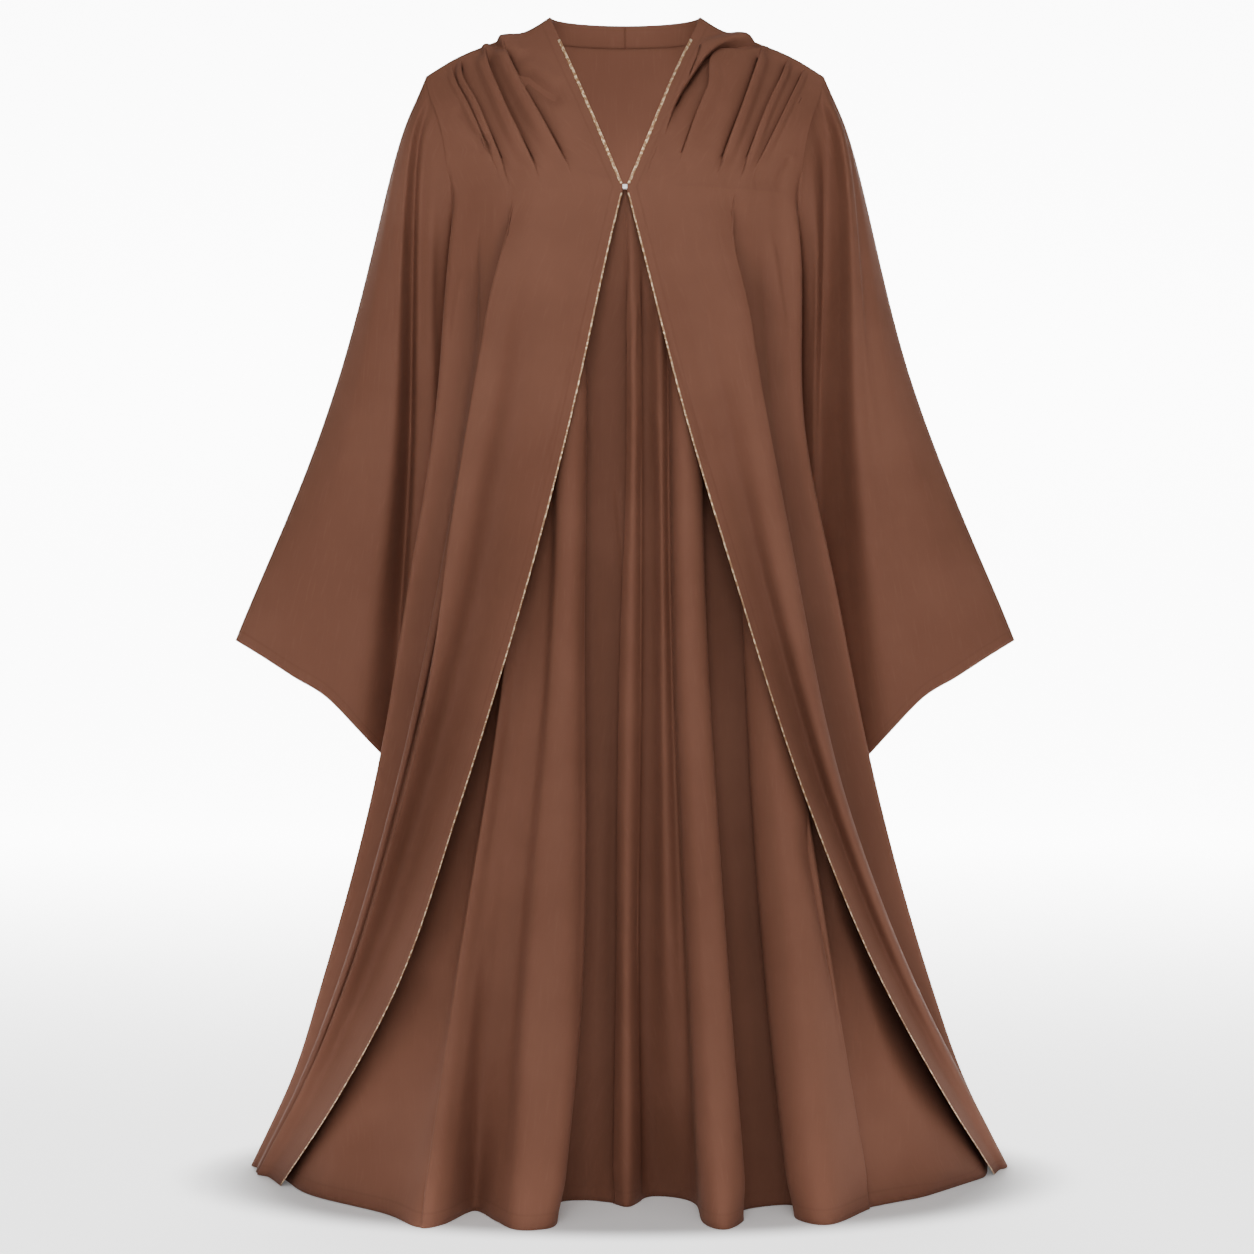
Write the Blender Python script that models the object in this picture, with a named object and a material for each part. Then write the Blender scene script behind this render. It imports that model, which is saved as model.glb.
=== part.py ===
# Cape abaya, worn form with no wearer. Metres, +Z up, the front faces -Y.
# The origin is at the middle of the neck, level with the highest point of the shoulder seams.
# Right and left are the wearer's: the wearer's right side is at -X.
import math

import bmesh
import bpy
import numpy as np

# Cloth and seams
WALL = 0.0015
SEAM_GAP = 0.0003
TRIM_GAP = 0.0005
CENTRE_GAP = 0.0006
LAYER_GAP = 0.0026
EDGE_LAYER_GAP = 0.0005
YOKE_SEAM_GAP = 0.0009
TRIM_THICKNESS = 0.0012
NECK_TRIM_WIDTH = 0.006
EDGE_TRIM_WIDTH = 0.0032
FACING_LEVEL = 0.118

# Main sizes
NECK_HALF_WIDTH = 0.0905
NECK_BACK_DEPTH = 0.070
NECK_BACK_RISE = 0.006
SHOULDER_HALF_WIDTH = 0.240
SHOULDER_DROP = 0.072
CLASP_Z = -0.227
CLASP_Y = -0.125
UNDERARM_Z = -0.330
HEM_Z = -1.400
TRIM_TOP_Z = -0.031
NECK_TRIM_END = 0.972
EDGE_TRIM_START = 1.0055
TRIM_ROW_STEP = 0.02

# Shoulder seam: half-width from the centre, height.
SHOULDER_SEAM = ((0.0905, 0.0), (0.112, -0.0135), (0.150, -0.027), (0.208, -0.052), (0.240, -0.072))

# Armhole, front and back: height, half-width, depth.
ARMHOLE_FRONT = (
    (-0.072, 0.2400, 0.000),
    (-0.100, 0.2335, -0.022),
    (-0.124, 0.2245, -0.042),
    (-0.150, 0.2165, -0.058),
    (-0.180, 0.2110, -0.066),
    (-0.227, 0.2065, -0.066),
    (-0.285, 0.2050, -0.040),
    (-0.330, 0.2050, 0.000),
)
ARMHOLE_BACK = (
    (-0.072, 0.2400, 0.000),
    (-0.100, 0.2340, 0.026),
    (-0.150, 0.2200, 0.056),
    (-0.227, 0.2090, 0.074),
    (-0.285, 0.2060, 0.048),
    (-0.330, 0.2050, 0.000),
)

# Side seam below the underarm: height, half-width, depth.
SIDE_SEAM = (
    (-0.330, 0.2050, 0.000),
    (-0.474, 0.2060, 0.006),
    (-0.704, 0.2160, 0.018),
    (-0.886, 0.2470, 0.032),
    (-1.000, 0.2740, 0.042),
    (-1.164, 0.3270, 0.060),
    (-1.285, 0.3820, 0.085),
    (-1.400, 0.4550, 0.128),
)

# Depth of the plain body behind the folds: height, inner front at the centre, back at the centre.
BODY_DEPTH = (
    (-0.227, -0.119, 0.120),
    (-0.330, -0.124, 0.126),
    (-0.474, -0.122, 0.130),
    (-0.704, -0.128, 0.152),
    (-0.934, -0.138, 0.192),
    (-1.164, -0.152, 0.244),
    (-1.400, -0.172, 0.305),
)

# Cape front sections, one row for each height. The edge hangs free, the crest is the long fold beside it,
# the side is the fold that hides the side seam. Dip, hollow and tuck are the depths of the troughs between.
CAPE_COLUMNS = ("z", "edge_x", "edge_y", "dip", "crest_x", "crest_y", "hollow", "side_x", "side_y", "tuck")
CAPE_RIGHT = (
    (-0.330, 0.0250, -0.150, 0.003, 0.1500, -0.130, 0.005, 0.2085, -0.082, 0.001),
    (-0.474, 0.0560, -0.162, 0.008, 0.1720, -0.142, 0.012, 0.2195, -0.085, 0.004),
    (-0.704, 0.1155, -0.172, 0.018, 0.2165, -0.143, 0.024, 0.2545, -0.080, 0.014),
    (-0.934, 0.1860, -0.172, 0.026, 0.2690, -0.126, 0.028, 0.2980, -0.045, 0.020),
    (-1.164, 0.2680, -0.148, 0.024, 0.3410, -0.076, 0.020, 0.3635, -0.005, 0.010),
    (-1.285, 0.3345, -0.110, 0.016, 0.3920, -0.028, 0.011, 0.4045, 0.030, 0.005),
    (-1.400, 0.4090, -0.041, 0.008, 0.4500, 0.035, 0.005, 0.4610, 0.075, 0.003),
)
CAPE_LEFT = (
    (-0.330, 0.0270, -0.150, 0.003, 0.1360, -0.132, 0.005, 0.2060, -0.082, 0.001),
    (-0.474, 0.0633, -0.162, 0.006, 0.1542, -0.144, 0.013, 0.2060, -0.088, 0.003),
    (-0.704, 0.1319, -0.172, 0.012, 0.1934, -0.148, 0.025, 0.2483, -0.082, 0.014),
    (-0.934, 0.2080, -0.168, 0.015, 0.2515, -0.130, 0.029, 0.2990, -0.045, 0.020),
    (-1.164, 0.3065, -0.132, 0.012, 0.3428, -0.072, 0.020, 0.3660, 0.000, 0.010),
    (-1.285, 0.3745, -0.085, 0.008, 0.4051, -0.018, 0.011, 0.4111, 0.036, 0.005),
    (-1.400, 0.4480, 0.020, 0.004, 0.4680, 0.065, 0.004, 0.4720, 0.096, 0.002),
)
# Where those lines lie across a cape front, from its front edge (0) to the armhole and side seam (1):
# name, place on the sheet, share of the shoulder seam, share of the section at the clasp.
CAPE_LINES = (
    ("edge", 0.00, 0.000, 0.006),
    ("dip", 0.28, 0.400, 0.375),
    ("crest", 0.55, 0.715, 0.683),
    ("hollow", 0.68, 0.815, 0.830),
    ("side", 0.82, 0.920, 0.955),
    ("tuck", 0.91, 0.965, 0.982),
    ("seam", 1.00, 1.000, 1.000),
)

# Pleats at the shoulder, one row each: place across the sheet at the seam, near the seam, on the chest and
# at the release, how far down it is released, height of the fold, width of its slope, lean of its edge.
# A negative lean turns the fold's edge towards the neck.
PLEAT_COLUMNS = ("seam", "near", "chest", "end", "release", "height", "width", "lean")
PLEATS_RIGHT = (
    (0.275, 0.265, 0.245, 0.205, 0.84, 0.0095, 0.085, -0.0048),
    (0.372, 0.368, 0.358, 0.340, 0.88, 0.0085, 0.080, -0.0045),
    (0.535, 0.530, 0.520, 0.500, 0.92, 0.0060, 0.055, -0.0026),
    (0.625, 0.615, 0.590, 0.555, 0.86, 0.0042, 0.050, -0.0018),
)
PLEATS_LEFT = (
    (0.270, 0.135, 0.075, 0.085, 0.66, 0.0105, 0.085, 0.0050),
    (0.305, 0.185, 0.175, 0.170, 0.84, 0.0062, 0.070, -0.0028),
    (0.375, 0.370, 0.362, 0.352, 0.90, 0.0072, 0.060, -0.0030),
    (0.560, 0.555, 0.545, 0.530, 0.90, 0.0060, 0.050, -0.0026),
    (0.640, 0.635, 0.610, 0.580, 0.90, 0.0042, 0.050, -0.0018),
)
PLEAT_STATIONS = (0.0, 0.08, 0.40, 0.86)
PLEAT_DROP = 0.010

# Inner front folds, one row for each crest or hollow: where it stands at the hip, the knee and the hem.
# The columns are hip x and y, knee x and y, hem x and y.
HIP_Z = -0.704
KNEE_Z = -1.164
INNER_RIGHT = (
    (0.000, -0.121, -0.005, -0.130, -0.012, -0.131),
    (-0.008, -0.111, -0.014, -0.117, -0.022, -0.124),
    (-0.027, -0.107, -0.032, -0.118, -0.047, -0.114),
    (-0.046, -0.112, -0.0525, -0.128, -0.076, -0.130),
    (-0.053, -0.137, -0.060, -0.180, -0.084, -0.225),
    (-0.064, -0.151, -0.078, -0.206, -0.098, -0.256),
    (-0.078, -0.150, -0.106, -0.202, -0.122, -0.254),
    (-0.088, -0.136, -0.127, -0.172, -0.144, -0.215),
    (-0.105, -0.117, -0.158, -0.138, -0.172, -0.163),
    (-0.120, -0.126, -0.177, -0.180, -0.204, -0.232),
    (-0.133, -0.128, -0.197, -0.184, -0.231, -0.246),
    (-0.150, -0.117, -0.232, -0.142, -0.300, -0.172),
    (-0.168, -0.106, -0.268, -0.100, -0.365, -0.092),
    (-0.188, -0.086, -0.300, -0.052, -0.404, -0.018),
)
INNER_LEFT = (
    (0.000, -0.121, -0.005, -0.130, -0.012, -0.131),
    (0.008, -0.132, 0.004, -0.146, 0.005, -0.146),
    (0.026, -0.116, 0.0245, -0.120, 0.028, -0.097),
    (0.0425, -0.131, 0.050, -0.144, 0.062, -0.102),
    (0.053, -0.124, 0.069, -0.150, 0.083, -0.138),
    (0.059, -0.144, 0.076, -0.190, 0.088, -0.224),
    (0.071, -0.152, 0.094, -0.209, 0.110, -0.255),
    (0.085, -0.142, 0.113, -0.192, 0.1305, -0.214),
    (0.110, -0.112, 0.143, -0.138, 0.166, -0.160),
    (0.128, -0.107, 0.161, -0.130, 0.190, -0.138),
    (0.141, -0.124, 0.176, -0.162, 0.202, -0.205),
    (0.158, -0.134, 0.203, -0.190, 0.228, -0.232),
    (0.178, -0.122, 0.237, -0.158, 0.276, -0.160),
    (0.193, -0.104, 0.256, -0.118, 0.320, -0.136),
    (0.202, -0.086, 0.284, -0.094, 0.385, -0.068),
    (0.208, -0.060, 0.310, -0.034, 0.430, -0.002),
)
BUST_SHARE = 0.90
INNER_TOP_LEVEL = 0.007

# Back flutes: angle round the back from the centre back, relief at the hem.
BACK_FLUTES = (
    (0, 0.030), (17, -0.022), (33, 0.030), (48, -0.020), (62, 0.026), (75, -0.012), (90, 0.0),
)
BACK_LEAN = 3.0
BACK_NECK_SHARE = 0.34

# Sleeves, one row for each line that runs from the armhole to the hem of the sleeve:
# height where it leaves the armhole, then upper arm, elbow and sleeve hem (half-width, depth, height).
# The outer lines are shared. Next to the body each sleeve has its own valley and ridge.
SLEEVE_OUTER = (
    (-0.0720, (0.2640, 0.000, -0.130), (0.3450, 0.000, -0.435), (0.4700, 0.000, -0.751)),
    (-0.0770, (0.2625, -0.022, -0.134), (0.3230, -0.046, -0.458), (0.4320, -0.030, -0.776)),
    (-0.0830, (0.2590, -0.035, -0.138), (0.3000, -0.062, -0.484), (0.3930, -0.048, -0.802)),
)
SLEEVE_VALLEY_RIGHT = (
    (-0.0890, (0.2555, -0.044, -0.143), (0.2835, -0.066, -0.506), (0.3540, -0.054, -0.829)),
    (-0.0960, (0.2510, -0.050, -0.148), (0.2705, -0.062, -0.524), (0.3120, -0.050, -0.868)),
    (-0.1040, (0.2445, -0.036, -0.155), (0.2590, -0.024, -0.540), (0.2850, -0.022, -0.894)),
    (-0.1280, (0.2360, -0.060, -0.168), (0.2460, -0.050, -0.556), (0.2775, -0.030, -0.899)),
)
SLEEVE_VALLEY_LEFT = (
    (-0.0890, (0.2580, -0.042, -0.143), (0.2900, -0.056, -0.500), (0.3540, -0.050, -0.829)),
    (-0.0960, (0.2530, -0.056, -0.148), (0.2730, -0.070, -0.522), (0.3120, -0.052, -0.868)),
    (-0.1040, (0.2440, -0.044, -0.155), (0.2560, -0.040, -0.540), (0.2850, -0.030, -0.894)),
    (-0.1280, (0.2340, -0.046, -0.168), (0.2380, -0.018, -0.556), (0.2740, -0.020, -0.901)),
)
SLEEVE_INNER = (
    (-0.2000, (0.2215, -0.062, -0.240), (0.2270, -0.014, -0.572), (0.2690, -0.012, -0.905)),
    (-0.3300, (0.2080, 0.004, -0.362), (0.2160, 0.012, -0.585), (0.2670, 0.004, -0.907)),
)
SLEEVE_BACK = (
    (-0.2200, (0.2210, 0.066, -0.250), (0.2290, 0.034, -0.572), (0.2720, 0.022, -0.903)),
    (-0.1450, (0.2330, 0.062, -0.180), (0.2540, 0.052, -0.545), (0.2900, 0.040, -0.888)),
    (-0.1050, (0.2480, 0.050, -0.150), (0.2800, 0.062, -0.510), (0.3360, 0.054, -0.844)),
    (-0.0880, (0.2560, 0.040, -0.142), (0.3050, 0.058, -0.478), (0.3900, 0.050, -0.804)),
    (-0.0790, (0.2620, 0.024, -0.135), (0.3270, 0.042, -0.453), (0.4340, 0.032, -0.775)),
)
SLEEVE_STATIONS = (0.0, 0.12, 0.5, 1.0)
SLEEVE_CLEARANCE = 0.0021
UNDERARM_EASE = 0.06
UNDERARM_SEAM_EASE = 0.0012

# Clasp stone
CLASP_SIDE = 0.0072
CLASP_THICKNESS = 0.0042
CLASP_BEVEL = 0.0012
CLASP_STANDOFF = 0.0036

# Finishes
CLOTH = {"colour": (0.235, 0.105, 0.066), "roughness": 0.62, "metallic": 0.0}
BRAID = {"colour": (0.74, 0.55, 0.38), "roughness": 0.38, "metallic": 0.35}
STONE = {"colour": (0.86, 0.86, 0.84), "roughness": 0.12, "metallic": 0.0}

# How the sections curve: forward over the chest, backward over the shoulder blades, round to the armhole,
# and how soon the folds of the back open on their way down. Beyond the last two places across the front
# and the back, the cloth runs into the armhole.
CHEST_FORWARD = 1.75
BLADES_BACKWARD = 1.9
CHEST_ROUND = 2.4
NECK_ROUND = 0.8
FLUTE_GROWTH = 1.1
FRONT_ARMHOLE_START = 0.55
BACK_ARMHOLE_START = 0.70
TORSO_CENTRE_Y = 0.03

# Cape front: where its first trough lies between edge and crest, where its second one lies between crest and
# side, and the way in which that one sinks.
DIP_SHARE = 0.52
HOLLOW_SHARE = 0.45
HOLLOW_WAY = (-0.5, 0.85)

# Pleats fade out from this share of their length on.
PLEAT_FADE_START = 0.45

# Places across a cape front for the columns of its cloth: below the pleats, and beside them.
FREE_PLACES = (0.14, 0.21, 0.28, 0.34, 0.40, 0.46, 0.51, 0.55, 0.60, 0.64, 0.68, 0.73, 0.78, 0.82, 0.86,
               0.91, 0.955, 1.0)
FIRST_PLEAT_PLACE = 0.06
BESIDE_LAST_PLEAT = 0.045
ARMHOLE_PLACES = (0.75, 0.80, 0.84, 0.88, 0.92, 0.96, 1.0)
PLEAT_PLACES_END = 0.86
PLEAT_PLACES_FADE = 0.35
LEAST_PLACE_STEP = 0.004

# Inner front: how far in from its rim it keeps its full distance to the cape front, how far it sinks below
# the cape's section, and how steeply it comes forward beside the cape's edge.
RIM_SHARE = 0.12
RIM_BELOW_SHOULDER = 0.8
COVER_PLACES = 28
COVER_END = 0.82
COVER_SINK = 0.004
COVER_SINK_HEIGHT = 0.1
COVER_SLOPE = 1.2
COVER_MOST = 0.08
SIDE_STEP = 0.004
SEAM_INSET = 0.001

# Steps at which a surface is read to find its direction.
READ_STEP = 0.01
EDGE_STEP = 0.02
SEAM_STEP = 0.015

# Rows of the cloth: shares of the way from the shoulder seam to the clasp, then heights below it.
YOKE_ROWS = (0.0, 0.05, 0.12, 0.22, 0.34, 0.48, 0.62, 0.74, 0.86, 1.0)
BACK_YOKE_ROWS = (0.0, FACING_LEVEL, 0.30, 0.55, 0.78, 1.0)
SKIRT_ROWS = (-0.258, -0.290, -0.330, -0.400, -0.480, -0.570, -0.660, -0.760, -0.860, -0.960, -1.060,
              -1.160, -1.240, -1.310, -1.365, -1.400)
FACING_SHARES = (0.0, 0.08, 0.17, 0.255, 0.325)
SLEEVE_ROWS = (0.0, 0.03, 0.07, 0.13, 0.21, 0.31, 0.41, 0.51, 0.61, 0.71, 0.81, 0.90, 0.96, 1.0)


def run_through(at, knots, values):
    """A smooth curve through the values at the knots, read at one place or many."""
    at = np.asarray(at, float)
    knots = np.asarray(knots, float)
    values = np.asarray(values, float)
    if knots[0] > knots[-1]:
        knots, values = knots[::-1], values[::-1]
    steps = np.diff(knots)
    shape = (-1,) + (1,) * (values.ndim - 1)
    slopes = np.diff(values, axis=0) / steps.reshape(shape)
    tangents = np.empty_like(values)
    tangents[0], tangents[-1] = slopes[0], slopes[-1]
    before, after = steps[:-1].reshape(shape), steps[1:].reshape(shape)
    tangents[1:-1] = (slopes[:-1] * after + slopes[1:] * before) / (before + after)
    i = np.clip(np.searchsorted(knots, at, side="right") - 1, 0, len(knots) - 2)
    step = steps[i]
    t = np.clip((at - knots[i]) / step, 0.0, 1.0)
    if values.ndim > 1:
        t, step = t[..., None], step[..., None]
    return (
        (2 * t**3 - 3 * t**2 + 1) * values[i]
        + (t**3 - 2 * t**2 + t) * step * tangents[i]
        + (3 * t**2 - 2 * t**3) * values[i + 1]
        + (t**3 - t**2) * step * tangents[i + 1]
    )


def soft_step(t):
    """0 below 0, 1 above 1, smooth between."""
    t = np.clip(t, 0.0, 1.0)
    return t * t * (3 - 2 * t)


def from_table(table, z):
    """The columns after the first one of a table of heights, at the height z."""
    rows = np.asarray(table, float)
    return run_through(z, rows[:, 0], rows[:, 1:])


def seam_at(z, back=False):
    """Half-width and depth of the armhole above the underarm and of the side seam below it."""
    if z >= UNDERARM_Z:
        return from_table(ARMHOLE_BACK if back else ARMHOLE_FRONT, z)
    return from_table(SIDE_SEAM, z)


def shoulder_point(share):
    """A point of the shoulder seam, from the neck (0) to the shoulder point (1)."""
    x = NECK_HALF_WIDTH + (SHOULDER_HALF_WIDTH - NECK_HALF_WIDTH) * share
    seam = np.asarray(SHOULDER_SEAM)
    return np.array([x, 0.0, float(run_through(x, seam[:, 0], seam[:, 1]))])


def chest_point(share):
    """A point of the front at the height of the clasp, from the centre (0) to the armhole (1)."""
    half, depth = seam_at(CLASP_Z)
    return np.array([half * share, CLASP_Y + (depth - CLASP_Y) * share**CHEST_ROUND, CLASP_Z])


def yoke_point(seam_share, chest_share, h):
    """A point between the shoulder seam (h = 0) and the height of the clasp (h = 1)."""
    top, foot = shoulder_point(seam_share), chest_point(chest_share)
    forward = 1 - (1 - h) ** CHEST_FORWARD
    point = top + (foot - top) * np.array([h, forward, h])
    edge_z = -SHOULDER_DROP + (CLASP_Z + SHOULDER_DROP) * h
    half, depth = seam_at(edge_z)
    side = chest_point(1.0)
    straight = np.array([SHOULDER_HALF_WIDTH + (side[0] - SHOULDER_HALF_WIDTH) * h, side[1] * forward])
    pull = soft_step((seam_share - FRONT_ARMHOLE_START) / (1 - FRONT_ARMHOLE_START))
    point[:2] += (np.array([half, depth]) - straight) * pull
    return point


def cape_lines(table, z):
    """The seven control points of a cape front's section at the height z, as x and y."""
    row = dict(zip(CAPE_COLUMNS[1:], from_table(table, z)))
    edge = np.array([row["edge_x"], row["edge_y"]])
    crest = np.array([row["crest_x"], row["crest_y"]])
    side = np.array([row["side_x"], row["side_y"]])
    seam = seam_at(z)
    dip = edge + (crest - edge) * DIP_SHARE + np.array([0.0, row["dip"]])
    hollow = crest + (side - crest) * HOLLOW_SHARE + np.array(HOLLOW_WAY) * row["hollow"]
    tuck = (side + seam) / 2 + np.array([-1.0, 0.0]) * row["tuck"]
    return np.array([edge, dip, crest, hollow, side, tuck, seam])


def cape_section(table, u, z):
    """A point of a cape front below the clasp. Near the clasp it runs into the chest's own section."""
    places = [line[1] for line in CAPE_LINES]
    chest = np.array([chest_point(line[3])[:2] for line in CAPE_LINES])
    seam_now = seam_at(z)
    first = table[0][0]
    if z > first:
        low = cape_lines(table, first)
        lower = cape_lines(table, (first + table[1][0]) / 2)
        t = (CLASP_Z - z) / (CLASP_Z - first)
        slope_out = (lower - low) * (CLASP_Z - first) / ((first - table[1][0]) / 2)
        controls = chest + (low - chest) * (2 * t - t * t) + slope_out * (t * t - t)
        controls[-1] = seam_now
        controls[-2] = (controls[-3] + controls[-1]) / 2
    else:
        controls = cape_lines(table, z)
    x, y = run_through(u, places, controls)
    return np.array([x, y, z])


def cape_base(table, u, level):
    """A point of a cape front without its pleats. Level 0 to 1 is the yoke, above that the skirt's height."""
    if level <= 1.0:
        places = [line[1] for line in CAPE_LINES]
        seam_share = float(run_through(u, places, [line[2] for line in CAPE_LINES]))
        chest_share = float(run_through(u, places, [line[3] for line in CAPE_LINES]))
        return yoke_point(seam_share, chest_share, level)
    return cape_section(table, u, CLASP_Z - (level - 1.0))


def facing_out(surface, u, level):
    """The unit vector out of a surface, and the one along it away from the front edge."""
    a, b = max(u - READ_STEP, 0.0), min(u + READ_STEP, 1.0)
    along = surface(b, level) - surface(a, level)
    above, below = max(level - READ_STEP, 0.0), min(level + READ_STEP, 1.0 + CLASP_Z - HEM_Z)
    down = surface(u, below) - surface(u, above)
    out = np.cross(down, along)
    return out / np.linalg.norm(out), along / np.linalg.norm(along)


def pleat_places(pleats, level):
    """Where each pleat's edge lies across the sheet at a level of the yoke."""
    rows = [dict(zip(PLEAT_COLUMNS, row)) for row in pleats]
    at = min(level, PLEAT_STATIONS[-1])
    return [
        (float(run_through(at, PLEAT_STATIONS, [row["seam"], row["near"], row["chest"], row["end"]])), row)
        for row in rows
    ]


def pleat_relief(pleats, u, level):
    """How far the pleats lift the cloth, and how far they pull it sideways."""
    lift, pull = 0.0, 0.0
    for place, row in pleat_places(pleats, level):
        fade = 1 - soft_step((level / row["release"] - PLEAT_FADE_START) / (1 - PLEAT_FADE_START))
        if fade <= 0:
            continue
        steep, slope = PLEAT_DROP, row["width"]
        s = (u - place) * (1 if row["lean"] < 0 else -1)
        rise = soft_step(1 + s / steep) if s < 0 else soft_step(1 - s / slope)
        lift += row["height"] * fade * rise
        pull += row["lean"] * fade * rise**3
    return lift, pull


def cape_surface(table, pleats):
    def base(u, level):
        return cape_base(table, u, level)

    def surface(u, level):
        point = base(u, level)
        if level >= 1.0:
            return point
        lift, pull = pleat_relief(pleats, u, level)
        if lift == 0.0:
            return point
        out, along = facing_out(base, u, level)
        return point + out * lift + along * pull

    return surface


def edge_share(surface, level, width):
    """The place across a sheet that lies this width in from its front edge."""
    return width / np.linalg.norm(surface(EDGE_STEP, level) - surface(0.0, level)) * EDGE_STEP


def trim_width(level):
    """Wide along the V neck, narrow below the clasp."""
    return NECK_TRIM_WIDTH if level < 1.0 else EDGE_TRIM_WIDTH


def cape_columns(surface, pleats, level):
    """Places across a cape front for one row: they follow the trim's edge and each pleat."""
    bound = [FIRST_PLEAT_PLACE]
    for place, row in pleat_places(pleats, level):
        sign = 1 if row["lean"] < 0 else -1
        marks = (place - sign * PLEAT_DROP, place, place + sign * row["width"] * 0.5)
        bound.extend(sorted(marks))
    bound.append(bound[-1] + BESIDE_LAST_PLEAT)
    bound.extend(ARMHOLE_PLACES)
    bound = np.maximum.accumulate(np.asarray(bound) + np.arange(len(bound)) * 1e-4)
    spread = np.interp(np.linspace(0, 1, len(bound)), np.linspace(0, 1, len(FREE_PLACES)), FREE_PLACES)
    blend = soft_step((level - PLEAT_PLACES_END) / PLEAT_PLACES_FADE)
    places = bound + (spread - bound) * blend
    return [0.0, edge_share(surface, level, trim_width(level))] + list(places)


def spaced_out(places, least):
    """The same places, none nearer to the one before it than the least step."""
    for i in range(1, len(places)):
        places[i] = max(places[i], places[i - 1] + least)
    top = places[-1]
    return [p / top if top > 1.0 else p for p in places]


def front_levels():
    return list(YOKE_ROWS) + [1.0 + CLASP_Z - z for z in SKIRT_ROWS]


def cape_grid(table, pleats):
    surface = cape_surface(table, pleats)
    rows = []
    for level in front_levels():
        places = spaced_out(cape_columns(surface, pleats, level), LEAST_PLACE_STEP)
        rows.append([surface(u, level) for u in places])
    return np.array(rows)


def trim_grid(table, pleats, levels, width):
    """A strip on the cape front's outer face, from its edge to the width of the trim."""
    surface = cape_surface(table, pleats)
    rows = []
    for level in levels:
        inner = edge_share(surface, level, width)
        row = []
        for u in (0.0, inner):
            out, along = facing_out(surface, u, level)
            row.append(surface(u, level) + out * (TRIM_GAP + TRIM_THICKNESS))
        rows.append(row)
    return np.array(rows)


def inner_seam(cape_table, z):
    """Where an inner front ends: just inside the cape front's outer edge."""
    end, before = cape_section(cape_table, 1.0, z)[:2], cape_section(cape_table, 1.0 - SEAM_STEP, z)[:2]
    along = (end - before) / np.linalg.norm(end - before)
    out = np.array([along[1], -along[0]])
    return end - out * (WALL + EDGE_LAYER_GAP) - along * SEAM_INSET


def inner_section(folds, cape_table, sign, z):
    """The control points of an inner front's section, from the centre seam to the side seam, as x and y."""
    rows = np.asarray(folds, float)
    hip, knee, hem = rows[:, 0:2], rows[:, 2:4], rows[:, 4:6]
    centre = float(from_table(BODY_DEPTH, z)[0])
    chest_x = hip[:, 0] * BUST_SHARE
    chest_half = seam_at(CLASP_Z)[0]
    chest_y = np.array([chest_point(min(abs(x) / chest_half, 1.0))[1] for x in chest_x]) + WALL + LAYER_GAP
    chest = np.stack([chest_x, chest_y], axis=1)
    stations = np.array([CLASP_Z, HIP_Z, KNEE_Z, HEM_Z])
    points = run_through(z, stations, np.array([chest, hip, knee, hem]))
    seam = inner_seam(cape_table, z) * np.array([sign, 1.0])
    inside = (points[-1] + seam) / 2
    inside[0] = sign * min(abs(inside[0]) + SIDE_STEP, abs(seam[0]) - SIDE_STEP)
    points = np.vstack([points, inside, seam])
    cape = np.array([cape_section(cape_table, u, z)[:2] for u in np.linspace(0, COVER_END, COVER_PLACES)])
    cover = np.interp(np.abs(points[:, 0]), cape[:, 0], cape[:, 1])
    inset = np.clip(cape[0, 0] - np.abs(points[:, 0]), 0, None)
    sink = COVER_SINK * soft_step((CLASP_Z - z) / COVER_SINK_HEIGHT)
    least = np.minimum(cover + WALL + LAYER_GAP + sink - inset * COVER_SLOPE, centre + COVER_MOST)
    near_seam = len(points) - 1
    points[:near_seam, 1] = np.maximum(points[:near_seam, 1], least[:near_seam])
    return points


def inner_grid(folds, cape_table, sign):
    """Rows of an inner front: under the cape front's yoke, then along its own folds to the hem."""
    half = seam_at(CLASP_Z)[0]
    foot = inner_section(folds, cape_table, sign, CLASP_Z)
    shares = np.clip(np.abs(foot[:, 0]) / (half - WALL - EDGE_LAYER_GAP), 0, 1)
    shares[0], shares[-1] = 0.0, 1.0
    rows = []
    for level in YOKE_ROWS[:-1]:
        h = max(level, INNER_TOP_LEVEL)
        row = []
        for share in fine_places(shares):
            here = yoke_point(share, share, h)
            inner, outer = max(share - READ_STEP, 0), min(share + READ_STEP, 1)
            above, below = max(h - READ_STEP, 0), min(h + READ_STEP, 1)
            along = yoke_point(outer, outer, h) - yoke_point(inner, inner, h)
            down = yoke_point(share, share, below) - yoke_point(share, share, above)
            out = np.cross(down, along)
            out /= np.linalg.norm(out)
            rim = min(share, 1 - share, h * RIM_BELOW_SHOULDER) / RIM_SHARE
            depth = WALL + EDGE_LAYER_GAP + (LAYER_GAP - EDGE_LAYER_GAP) * soft_step(rim)
            point = here - out * depth
            point[0] *= sign
            row.append(point)
        rows.append(row)
    for z in (CLASP_Z,) + SKIRT_ROWS:
        controls = inner_section(folds, cape_table, sign, z)
        controls[0, 0] += sign * CENTRE_GAP / 2
        knots = np.arange(len(controls), dtype=float)
        places = fine_places(knots)
        xy = run_through(places, knots, controls)
        rows.append([np.array([x, y, z]) for x, y in xy])
    return np.array(rows)


def fine_places(knots):
    """The knots, with one more place in the middle of each stretch but the first two."""
    knots = np.asarray(knots, float)
    places = [knots[0]]
    for i in range(1, len(knots)):
        if i > 2 and i % 3 == 0:
            places.append((knots[i - 1] + knots[i]) / 2)
        places.append(knots[i])
    return np.array(places)


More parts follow.
